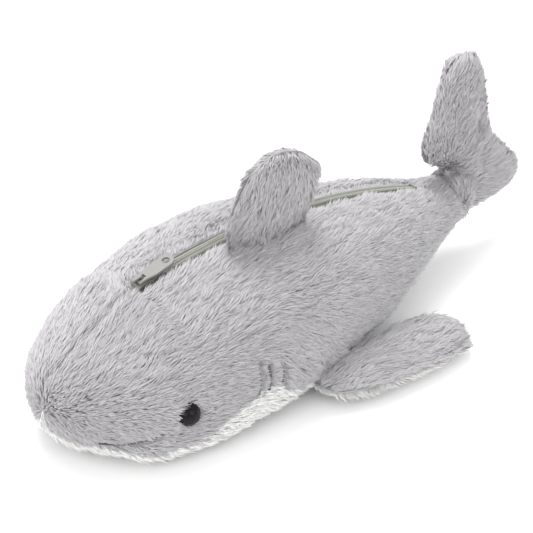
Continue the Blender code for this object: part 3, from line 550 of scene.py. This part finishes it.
def cloth_material(name, colour, scale=900.0, depth=0.3):
    """Woven or knitted cloth: fine crossed threads with a little dirt and unevenness."""
    made, tree, shader = nodes_of(name)
    where = tree.nodes.new("ShaderNodeTexCoord")
    waves = []
    for direction in ("X", "Y"):
        wave = tree.nodes.new("ShaderNodeTexWave")
        wave.wave_type = "BANDS"
        wave.bands_direction = direction
        wave.inputs["Scale"].default_value = scale
        wave.inputs["Distortion"].default_value = 1.2
        wave.inputs["Detail"].default_value = 1.0
        tree.links.new(where.outputs["Object"], wave.inputs["Vector"])
        waves.append(wave.outputs["Fac"])
    weave = tree.nodes.new("ShaderNodeMath")
    weave.operation = "MULTIPLY"
    tree.links.new(waves[0], weave.inputs[0])
    tree.links.new(waves[1], weave.inputs[1])
    dark, light = shades(colour, 0.82, 1.05)
    threads = ramp(tree, weave.outputs["Value"], ((0.1, dark), (0.7, light)))
    uneven = noise_node(tree, 60.0)
    tone = ramp(tree, uneven.outputs["Fac"], ((0.3, (0.92, 0.92, 0.92)), (0.7, (1.0, 1.0, 1.0))))
    mixed = mix(tree, "MULTIPLY", 1.0, threads.outputs["Color"], tone.outputs["Color"])
    tree.links.new(mixed, shader.inputs["Base Color"])
    relief = tree.nodes.new("ShaderNodeBump")
    relief.inputs["Strength"].default_value = depth
    relief.inputs["Distance"].default_value = 0.0002
    tree.links.new(weave.outputs["Value"], relief.inputs["Height"])
    tree.links.new(relief.outputs["Normal"], shader.inputs["Normal"])
    shader.inputs["Roughness"].default_value = 0.85
    shader.inputs["Specular IOR Level"].default_value = 0.25
    return made


def solid_material(name, colour, rough, wear=0.06, specular=0.5):
    """Moulded plastic or coated metal, with faint mottling in colour and roughness."""
    made, tree, shader = nodes_of(name)
    spots = noise_node(tree, 420.0, 4.0)
    dark, light = shades(colour, 1 - wear, 1 + wear)
    tone = ramp(tree, spots.outputs["Fac"], ((0.3, dark), (0.7, light)))
    tree.links.new(tone.outputs["Color"], shader.inputs["Base Color"])
    smoother, rougher = (rough * 0.85,) * 3, (rough * 1.15,) * 3
    gloss = ramp(tree, spots.outputs["Fac"], ((0.3, smoother), (0.7, rougher)))
    tree.links.new(gloss.outputs["Color"], shader.inputs["Roughness"])
    shader.inputs["Specular IOR Level"].default_value = specular
    return made


GREY = (0.525, 0.512, 0.528)
WHITE = (0.90, 0.90, 0.885)
grey_fur = fur_material("grey_plush", GREY)
white_fur = fur_material("white_plush", WHITE)
grey_cloth = cloth_material("grey_backing", tuple(c * 0.80 for c in GREY), 500.0)
white_cloth = cloth_material("white_backing", tuple(c * 0.90 for c in WHITE), 500.0)
tape_cloth = cloth_material("zip_tape", (0.69, 0.68, 0.60), 1100.0, 0.5)
lining_cloth = cloth_material("lining", (0.50, 0.51, 0.46), 700.0)
coil_plastic = solid_material("coil_nylon", (0.29, 0.30, 0.265), 0.42)
pull_metal = solid_material("pull_metal", (0.19, 0.187, 0.176), 0.42)
eye_black = solid_material("eye_black", (0.004, 0.004, 0.0045), 0.16, specular=0.16)
fibre_white = cloth_material("stuffing", (0.8, 0.8, 0.8), 300.0)
washer_white = solid_material("washer_plastic", (0.8, 0.8, 0.78), 0.5)
# The tucks' thread, made near black so that it also stands in as painted shade in the gill and mouth
# creases
thread_and_crease_shade = cloth_material("thread", (0.10, 0.10, 0.105), 1500.0)

# ------------------------------------------------------------------------ body fur

SEAM_LINE, SEAM_SINK = 0.0022, 0.0016
GILLS = ((0.101, 0.029, 0.050), (0.108, 0.028, 0.047), (0.117, 0.027, 0.043))  # back, low, high
GILL_BEND = 0.0012
GILL_WIDTH, GILL_SINK = 0.0016, 0.0046
GILL_RIDGE = 0.0012  # how far the fur swells in front of a tuck
# Distance back from the nose, and height
MOUTH = ((0.014, 0.0165), (0.021, 0.0180), (0.029, 0.0200), (0.037, 0.0225), (0.046, 0.0262))
MOUTH_WIDTH, MOUTH_SINK = 0.0016, 0.0036
CHIN_SWELL = 0.0010
BROW_SWELL = 0.0019
ZIP_LIP, ZIP_LIP_SINK = 0.008, 0.0007  # the strip of pressed fur beside the zipper
EYE = (0.058, 0.0345, 0.0066)  # back from the nose, height, radius
NAP_FALL = ((0.0, 0.50), (0.45, 0.40), (0.95, 0.0), (1.3, -0.30), (3.2, -0.15))


def body_features(points):
    """Extra depth, strand length, lift and density for the seams, tucks, eyes and mouth."""
    x, y, z = points[..., 0], points[..., 1], points[..., 2]
    back = x - NOSE_X
    sink = np.zeros(x.shape)
    long = np.ones(x.shape)
    flat = np.zeros(x.shape)
    thick = np.ones(x.shape)
    # The seam over the head
    seam = bump(np.abs(y), SEAM_LINE) * (1 - step((x - ZIP_X[0] + 0.004) / 0.006))
    sink = sink + SEAM_SINK * seam
    flat = flat + 0.45 * seam
    # Gill tucks
    for from_nose, low, high in GILLS:
        inside = step((z - low + 0.003) / 0.004) * step((high + 0.003 - z) / 0.004)
        bent = back - from_nose - GILL_BEND * np.sin((z - low) / (high - low) * math.pi)
        sink = sink + GILL_SINK * bump(bent, GILL_WIDTH) * inside
        thick = thick * (1 - 0.85 * bump(bent, 0.0013) * inside)
        sink = sink - GILL_RIDGE * bump(bent + 0.0034, 0.0022) * inside
        upstream = (bent > -TUFT_LENGTH) * (bent < 0.001)
        shorter = np.clip((0.0004 - bent) / TUFT_LENGTH, 0.25, 1)
        long = long * (1 - (1 - shorter) * upstream * inside)
    # The mouth
    line = curve(MOUTH, back)
    inside = step((back - 0.011) / 0.006) * step((0.048 - back) / 0.006)
    crease = bump(z - line, MOUTH_WIDTH) * inside
    sink = sink + MOUTH_SINK * crease - CHIN_SWELL * bump(z - line + 0.0045, 0.003) * inside
    long = long * (1 - 0.55 * bump(z - line - 0.0015, 0.0035) * inside)
    thick = thick * (1 - 0.7 * crease)
    # Round the eyes the fur is short and pressed down
    near = np.hypot(back - EYE[0] - 0.0010, z - EYE[1] + 0.0014)
    bare = 1 - step((near - EYE[2] * 0.80) / 0.0012)
    thick = thick * (1 - bare)
    brow = bump(np.hypot(back - EYE[0] + 0.0080, z - EYE[1] - 0.0050), 0.0065)
    sink = sink - BROW_SWELL * brow
    long = long * (1 + 0.12 * brow)
    round_eye = 1 - step((near - EYE[2]) / 0.006)
    long = long * (1 - 0.30 * round_eye)
    flat = flat + 0.25 * round_eye * (z > 0.012)
    # The nose's own short fur
    nose = 1 - step(back / 0.016)
    long = long * (1 - 0.25 * nose)
    # Along the zipper the fur stands over the tape's edge
    beside = (x > ZIP_X[0]) * (x < ZIP_X[1])
    edge = np.where(beside, np.abs(y) - slit_half_width(x), 1.0)
    lip = (1 - step(edge / ZIP_LIP)) * (z > 0.04)
    sink = sink + ZIP_LIP_SINK * lip
    long = long * (1 - np.where(y > 0, 0.60, 0.15) * lip)
    return {"sink": sink, "long": long, "flat": np.clip(flat, 0, 0.85), "thick": thick}


def body_patch(name, place_range, angle_of, side, finishes, rows=150, columns=72, density=1.0):
    """Fur cloth over a patch of the body; finishes are the fur's and the cloth's materials."""
    places = np.linspace(*place_range, rows)
    low, high = angle_of(places)
    angles = (low[:, None] + (high - low)[:, None] * np.linspace(0, 1, columns)[None]) * side
    grid = surface(np.repeat(places[:, None], columns, axis=1), angles)
    middle = np.stack([grid[..., 0], 0 * grid[..., 1], np.full(grid.shape[:2], 0.034)], -1)
    outward = grid - middle
    at_nose = 1 - step((grid[..., 0] - NOSE_X) / 0.02)
    outward[..., 0] -= 0.6 * at_nose * np.linalg.norm(outward, axis=-1)
    nap = unit(np.gradient(grid, axis=0))
    fall = np.zeros_like(nap)
    fall[..., 2] = curve(NAP_FALL, np.abs(angles))
    by_zip = (grid[..., 0] > ZIP_X[0] - 0.004) * (grid[..., 0] < ZIP_X[1]) * (grid[..., 2] > 0.04)
    reach = np.abs(grid[..., 1]) - SLIT_HALF_WIDTH
    away = (1 - step(reach / 0.010)) * by_zip
    fall[..., 1] = away * np.where(grid[..., 1] > 0, 1.1, 0.50)
    features = body_features(grid)
    features["density"] = density
    return furry(name, grid, outward, nap + fall, *finishes, features)


def belly_seam(x):
    return curve(BELLY_SEAM, (x - NOSE_X) / BODY_LENGTH)


def side_angles(places):
    x = section(places)[0]
    return angle_at_side(places, slit_half_width(x)), belly_seam(x)


def belly_angles(places):
    seam = belly_seam(section(places)[0])
    return seam, math.tau - seam


grey_finishes = (grey_fur, grey_cloth)
seam_place = float(place_at(SEAM_X))
body_range = (0.02, seam_place)
for side_name, side in (("left", 1), ("right", -1)):
    sheet, tufts = body_patch(f"side_{side_name}", body_range, side_angles, side, grey_finishes)
    for piece in (sheet, *tufts):
        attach(piece, "pouch")
    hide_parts(f"side_panel_{side_name}")
white_finishes = (white_fur, white_cloth)
sheet, tufts = body_patch("belly", body_range, belly_angles, 1, white_finishes, density=0.55)
for piece in (sheet, *tufts):
    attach(piece, "pouch")
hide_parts("belly_panel")


def sleeve_angles(places):
    x = section(places)[0]
    from_seam = angle_at_side(places, SEAM_GAP / 2 + 0 * x)
    return from_seam, math.pi - from_seam


stalk_range = (seam_place - 0.05, LAST)
for side_name, side in (("left", 1), ("right", -1)):
    stalk = (f"stalk_{side_name}", stalk_range, sleeve_angles, side, grey_finishes)
    sheet, tufts = body_patch(*stalk, rows=16, columns=48)
    for piece in (sheet, *tufts):
        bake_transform(piece)
    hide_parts(f"stalk_panel_{side_name}")

# --------------------------------------------------------------------------- fins

# Share of the fin's height, and distance back from its start
DORSAL_FRONT = (
    (0.0, -0.006),
    (0.30, -0.006),
    (0.55, -0.002),
    (0.78, 0.004),
    (0.92, 0.012),
    (1.0, 0.021),
)
DORSAL_REAR = (
    (0.0, 0.054),
    (0.25, 0.058),
    (0.45, 0.061),
    (0.62, 0.061),
    (0.80, 0.054),
    (0.92, 0.046),
    (1.0, 0.035),
)
DORSAL_SWELL = ((0.0, 0.72), (0.35, 1.0), (0.75, 0.95), (0.93, 0.60), (1.0, 0.0))
DORSAL_HEIGHT = 0.049
DORSAL_SIDE = 0.0135
DORSAL_START = NOSE_X + 0.128
DORSAL_ROOT = 0.0911
DORSAL_MIDDLE = 0.026
DORSAL_HALF = 0.0092
THINNEST = 0.0006


def lens(u):
    return np.clip(1 - np.abs(2 * u - 1) ** 2.2, 0, 1) ** 0.6


def chord_shares(columns):
    return (1 - np.cos(np.linspace(0, math.pi, columns))) / 2


def dorsal_face(inset, side):
    u = chord_shares(44)[None, :]
    v = np.concatenate([[-0.14, -0.07], np.linspace(0, 1, 44)])[:, None]
    front = curve(DORSAL_FRONT, v) + inset
    rear = curve(DORSAL_REAR, v) - inset
    a = front + (rear - front) * u
    b = v * (DORSAL_HEIGHT - inset)
    half = np.maximum(DORSAL_HALF * curve(DORSAL_SWELL, v) * lens(u) - inset, THINNEST)
    lean = 0.06 * b
    fall = 0.035 * (a - DORSAL_MIDDLE)
    return np.stack([DORSAL_START + a, -DORSAL_SIDE - side * half - lean, DORSAL_ROOT + b - fall], -1)


def one_way(direction):
    """A nap that lies the same way everywhere."""
    return lambda points: np.broadcast_to(np.array(direction, float), points.shape)


both_grey = ((grey_fur, "left"), (grey_fur, "right"))
dorsal_sides = (np.array([0, -1.0, 0]), np.array([0, 1.0, 0]))
body, tufts = fin("dorsal_fin", dorsal_face, dorsal_sides, one_way((-0.62, 0, -0.78)), both_grey)
for piece in (body, *tufts):
    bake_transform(piece)
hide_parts("dorsal_fin_panel_left", "dorsal_fin_panel_right", "dorsal_fin_filling")

# Distances back from the fin's start and out from the body's middle, from root to tip
PECTORAL_LEAD = (
    (0.000, 0.0675),
    (0.004, 0.0745),
    (0.016, 0.0825),
    (0.036, 0.0875),
    (0.060, 0.0915),
    (0.078, 0.0945),
    (0.092, 0.0930),
    (0.102, 0.0850),
)
PECTORAL_TRAIL = (
    (0.050, 0.0585),
    (0.062, 0.0555),
    (0.076, 0.0520),
    (0.088, 0.0500),
    (0.096, 0.0510),
    (0.102, 0.0545),
    (0.107, 0.0610),
    (0.108, 0.0700),
)
PECTORAL_CENTRE = ((0.0, 0.0130), (0.35, 0.0110), (1.0, 0.0090))
PECTORAL_SWELL = ((0.0, 0.75), (0.4, 1.0), (0.8, 0.9), (0.95, 0.55), (1.0, 0.0))
PECTORAL_HALF = 0.0080
PECTORAL_START = NOSE_X + 0.140
PECTORAL_OUT = (-0.177, 0.984)  # the way out from the hinge, back and to the side


def pectoral_face(mirror):
    shares = np.linspace(0, 1, len(PECTORAL_LEAD))

    def edge(points, k, at):
        return curve([(share, point[k]) for share, point in zip(shares, points)], at)

    def grid(inset, up):
        u = chord_shares(40)[None, :]
        v = np.linspace(0, 1, 64)[:, None]
        pulled = np.clip(v, 0, 1 - 9 * inset)
        front = [edge(PECTORAL_LEAD, k, pulled) for k in (0, 1)]
        rear = [edge(PECTORAL_TRAIL, k, pulled) for k in (0, 1)]
        chord = np.hypot(rear[0] - front[0], rear[1] - front[1])
        share = inset / chord + (1 - 2 * inset / chord) * u
        back, out = (front[k] + (rear[k] - front[k]) * share for k in (0, 1))
        out = out - 0.006 * (1 - step(v / 0.10))
        half = PECTORAL_HALF * curve(PECTORAL_SWELL, v) * lens(u) - inset
        z = curve(PECTORAL_CENTRE, v) + up * np.maximum(half, THINNEST)
        return np.stack([PECTORAL_START + back, mirror * out, z], -1)

    return grid


for side_name, mirror in (("left", -1), ("right", 1)):
    finishes = ((grey_fur, "upper"), (white_fur, "lower"))
    sides = (np.array([0, 0, 1.0]), np.array([0, 0, -1.0]))
    name = f"pectoral_{side_name}"
    nap = one_way((0.93, 0.36 * mirror, -0.04))
    body, tufts = fin(name, pectoral_face(mirror), sides, nap, finishes)
    out = Vector((PECTORAL_OUT[0], PECTORAL_OUT[1] * mirror, 0))
    for piece in (body, *tufts):
        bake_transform(piece)
    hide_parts(f"{name}_upper", f"{name}_lower", f"{name}_filling")

# Height, and distances of the front and rear edges back from the fin's start
TAIL_ROWS = (
    (0.0225, 0.004, 0.026),
    (0.0250, 0.000, 0.054),
    (0.0310, 0.000, 0.064),
    (0.0380, 0.000, 0.065),
    (0.0460, 0.000, 0.059),
    (0.0540, 0.000, 0.050),
    (0.0620, -0.007, 0.042),
    (0.0690, -0.022, 0.036),
    (0.0800, -0.027, 0.033),
    (0.0960, -0.022, 0.030),
    (0.1120, -0.018, 0.026),
    (0.1240, -0.014, 0.020),
    (0.1310, -0.009, 0.014),
    (0.1345, -0.003, 0.006),
)
TAIL_HALF = 0.0085
TAIL_CREASE = 0.0022
TAIL_ROOT = 0.034
TAIL_START = SEAM_X + STALK_LENGTH + SEAM_GAP
TAIL_FORK = (TAIL_START + 0.004, 0.036)


def tail_face(inset, side):
    table = np.array(TAIL_ROWS)
    low, high = table[0, 0], table[-1, 0]
    u = chord_shares(44)[None, :]
    v = np.linspace(0, 1, 84)[:, None]
    b = low + inset + v * (high - low - 2 * inset) + 0 * u
    front, rear = (curve(table[:, (0, k)], b) for k in (1, 2))
    at_stalk = (front > -0.001) * (b > 0.024)
    front_in = front + inset * (1 - at_stalk) - 0.003 * at_stalk
    a = front_in + (rear - inset - front_in) * u
    edge = np.minimum(b - low, high - b)
    rounding = np.sqrt(np.clip(edge / (0.06 * (high - low)), 0, 1))
    blade = TAIL_HALF * lens((a - front) / (rear - front)) * rounding
    from_middle = (b - STALK_MIDDLE) / STALK_HALF_HEIGHT
    ellipse = STALK_END_HALF_WIDTH * np.sqrt(np.clip(1 - from_middle**2, 0, 1))
    stalk = ellipse * (1 - step(a / TAIL_ROOT))
    crease = bump(a - 0.022 + 0.10 * (b - 0.05), 0.0045)
    crease = crease * step((b - 0.030) / 0.02) * step((0.112 - b) / 0.03)
    half = np.maximum(np.maximum(blade, stalk) - inset - TAIL_CREASE * crease, THINNEST)
    return np.stack([TAIL_START + a, -side * half, b], -1)


def tail_nap(points):
    away = points - np.array([TAIL_FORK[0], 0, TAIL_FORK[1]])
    away[..., 1] = 0
    return unit(unit(away) + np.array([0.25, 0, 0.1]))


body, tufts = fin("tail_fin", tail_face, dorsal_sides, tail_nap, both_grey, {"density": 1.1})
for piece in (body, *tufts):
    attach(piece, "tail")
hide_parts("tail_fin_panel_left", "tail_fin_panel_right", "tail_fin_filling")

# ------------------------------------------------------------------------- zipper

TAPE_WIDTH = 0.0105
TAPE_SLOPE = 0.2
TAPE_INSET = 0.0022
TAPE_THICKNESS = 0.0005
SLIDER_AT = 0.0100
BOTTOM_STOP_AT = 0.0066
TOOTH_PITCH = 0.00125
# Distance out from the zipper's middle, and height
TOOTH_PATH = (
    (0.0029, 0.0006),
    (0.0030, 0.0015),
    (0.0022, 0.0021),
    (0.0010, 0.0021),
    (0.00015, 0.0015),
    (0.0006, 0.0007),
)
TOOTH_RADIUS = 0.00040
TOOTH_SLANT = 0.00022  # how far a tooth's ends lie from its middle along the zipper
SEWN_LINES = ((0.0020, 0.0021), (0.0034, 0.0005))
SEWN_RADIUS = 0.00028
SEWN_WAVE = 0.00012
TAPE_EDGE = 0.0004  # half the gap between the tapes
MIDDLE_ALONG = ZIP_LENGTH / 2


def tube(points, radius, sides=6):
    """Points and faces of a closed tube along a line of points."""
    points = np.asarray(points, float)
    ahead = unit(np.gradient(points, axis=0))
    side = unit(np.cross(ahead, np.array([0.31, 0.27, 0.91])))
    up = np.cross(side, ahead)
    turn = (np.arange(sides) * math.tau / sides)[None, :, None]
    rings = points[:, None] + radius * (side[:, None] * np.cos(turn) + up[:, None] * np.sin(turn))
    count = len(points)
    faces = []
    for i in range(count - 1):
        for j in range(sides):
            k = (j + 1) % sides
            faces.append((i * sides + j, i * sides + k, (i + 1) * sides + k, (i + 1) * sides + j))
    faces.append(tuple(reversed(range(sides))))
    faces.append(tuple((count - 1) * sides + j for j in range(sides)))
    return rings.reshape(-1, 3), faces


def joined(parts):
    """One mesh's points and faces from several."""
    points, faces, start = [], [], 0
    for part_points, part_faces in parts:
        points.append(part_points)
        faces += [tuple(start + k for k in f) for f in part_faces]
        start += len(part_points)
    return np.concatenate(points), faces


halves = (("front", 0.0, MIDDLE_ALONG), ("rear", MIDDLE_ALONG, ZIP_LENGTH))
for side_name, side in (("left", -1), ("right", 1)):
    for half_name, low, high in halves:
        tape_along = np.linspace(max(low, TAPE_INSET), min(high, ZIP_LENGTH - TAPE_INSET), 60)[:, None]
        out = TAPE_EDGE + (TAPE_WIDTH - TAPE_EDGE) * np.linspace(0, 1, 8)[None, :]
        drop = -TAPE_SLOPE * out
        top = on_zip(tape_along, side * out, TAPE_THICKNESS / 2 + drop)
        under = on_zip(tape_along, side * out, -TAPE_THICKNESS / 2 + drop)
        tape = closed_sheet(f"zip_tape_{side_name}_{half_name}", top, under, tape_cloth, side > 0)
        teeth = []
        first = SLIDER_AT - 0.001 + (0.5 * TOOTH_PITCH if side > 0 else 0)
        for at in np.arange(first, ZIP_LENGTH - BOTTOM_STOP_AT - 0.0012, TOOTH_PITCH):
            if low <= at < high:
                across, height = np.array(TOOTH_PATH).T
                slant = np.linspace(-TOOTH_SLANT, TOOTH_SLANT, len(TOOTH_PATH))
                teeth.append(tube(on_zip(at + slant, side * across, height), TOOTH_RADIUS, 5))
        ends = (max(low, SLIDER_AT - 0.0015), min(high, ZIP_LENGTH - BOTTOM_STOP_AT))
        wave = SEWN_WAVE * np.sin(np.arange(90) * 2.2)
        for offset, height in SEWN_LINES:
            sewn = on_zip(np.linspace(*ends, 90), side * offset, height + wave)
            teeth.append(tube(sewn, SEWN_RADIUS, 5))
        coil = new_mesh(f"zip_coil_{side_name}_{half_name}", *joined(teeth), coil_plastic)
        end = on_zip(low if half_name == "front" else high, 0.0, 0.0)
        centre = on_zip(MIDDLE_ALONG, 0.0, 0.0)
        for piece, slot_name in ((tape, "zip_tape_cloth"), (coil, "coil_nylon")):
            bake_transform(piece)
        if half_name == "front":
            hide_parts(f"zip_tape_{side_name}")
            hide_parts(f"zip_coil_{side_name}")

# ------------------------------------------------- dark threads at the bottom of the tucks, as painted crease shade

GILL_THREAD_DEPTH = 0.0036
MOUTH_THREAD_DEPTH = 0.0048
# Thick, so that the dark thread shows as painted shade along each crease
THREAD_RADIUS = 0.0008


def on_side(back, height, side):
    """A point of the CAD's outside at a height on one flank, and the direction away from it."""
    place = place_at(NOSE_X + back)
    _, _, top, bottom, middle, square_top, square_low = section(place)
    high = np.clip((height - middle) / (top - middle), 0, 1) ** (square_top / 2)
    low = np.clip((middle - height) / (middle - bottom), 0, 1) ** (square_low / 2)
    angle = np.where(height >= middle, np.arccos(high), math.pi - np.arccos(low)) * side
    point = surface(place, angle)
    across = surface(place, angle + 0.01) - surface(place, angle - 0.01)
    along = surface(place + 0.01, angle) - surface(place - 0.01, angle)
    return point, unit(np.cross(across, along))


def tuck_thread(name, back, heights, side, depth):
    """The thread of a tuck, at a depth under the CAD's outside; near black and thick, it paints the
    shade at the bottom of the crease.
    """
    point, away = on_side(back, heights, side)
    made = new_mesh(name, *tube(point - away * depth, THREAD_RADIUS), thread_and_crease_shade)
    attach(made, "pouch")
    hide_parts(name.replace("_thread", ""))


for side_name, side in (("left", 1), ("right", -1)):
    for number, (from_nose, low, high) in enumerate(GILLS, 1):
        heights = np.linspace(low, high, 24)
        back = from_nose + GILL_BEND * np.sin(np.linspace(0, math.pi, 24))
        tuck_thread(f"gill_stitch_{side_name}_{number}_thread", back, heights, side, GILL_THREAD_DEPTH)
    shares = np.linspace(0, len(MOUTH) - 1, 30)
    back, heights = (curve(list(enumerate(column)), shares) for column in zip(*MOUTH))
    tuck_thread(f"mouth_stitch_{side_name}_thread", back, heights, side, MOUTH_THREAD_DEPTH)

# ----------------------------------------------------- CAD pieces that stay in view

finish_of = {
    "lining": lining_cloth,
    "head_filling": fibre_white,
    "slider_body": pull_metal,
    "slider_crown": pull_metal,
    "pull_tab": pull_metal,
    "top_stop_left": pull_metal,
    "top_stop_right": pull_metal,
    "bottom_stop": pull_metal,
    "eye_left": eye_black,
    "eye_right": eye_black,
}
for node_name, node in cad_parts.items():
    if node_name.startswith("eye_washer"):
        finish = washer_white
    else:
        finish = finish_of.get(node_name)
    if finish and not node.hide_render:
        node.data.materials.clear()
        node.data.materials.append(finish)

# ------------------------------------------------------------------ camera and light

target = Vector((0.0, 0.0, 0.040))
azimuth, elevation, distance = math.radians(41.0), math.radians(35.0), 0.900
direction = Vector((-math.sin(azimuth), -math.cos(azimuth), math.tan(elevation))).normalized()
camera = bpy.data.objects.new("camera", bpy.data.cameras.new("camera"))
bpy.context.scene.collection.objects.link(camera)
camera.location = target + direction * distance
camera.rotation_euler = (target - camera.location).to_track_quat("-Z", "Y").to_euler()
camera.data.sensor_width = 36
camera.data.lens = 105.4
camera.data.shift_x = 0.016
camera.data.shift_y = 0.040
bpy.context.scene.camera = camera

floor_material, _, floor_shader = nodes_of("floor")
floor_shader.inputs["Base Color"].default_value = (0.95, 0.95, 0.95, 1)
floor_shader.inputs["Roughness"].default_value = 0.9
floor_corners = [(-3, -3, 0), (3, -3, 0), (3, 3, 0), (-3, 3, 0)]
floor = new_mesh("floor", floor_corners, [(0, 1, 2, 3)], floor_material, smooth=False)
floor.location.z = -FLOOR_DROP


def area_light(name, place, size, power):
    """A round light that looks at the target."""
    made = bpy.data.objects.new(name, bpy.data.lights.new(name, "AREA"))
    made.data.shape = "DISK"
    made.data.size = size
    made.data.energy = power
    made.location = place
    made.rotation_euler = (target - Vector(place)).to_track_quat("-Z", "Y").to_euler()
    bpy.context.scene.collection.objects.link(made)


area_light("top_softbox", (0.25, 0.55, 1.25), 0.9, 16)
area_light("front_softbox", (-1.1, -0.4, 0.8), 0.9, 5)
area_light("side_softbox", (0.0, -1.3, 0.7), 0.9, 3)
world = bpy.data.worlds.new("studio")
world.use_nodes = True
world.node_tree.nodes["Background"].inputs["Color"].default_value = (1, 1, 1, 1)
world.node_tree.nodes["Background"].inputs["Strength"].default_value = 1.05
bpy.context.scene.world = world
bpy.context.scene.view_settings.view_transform = "Standard"
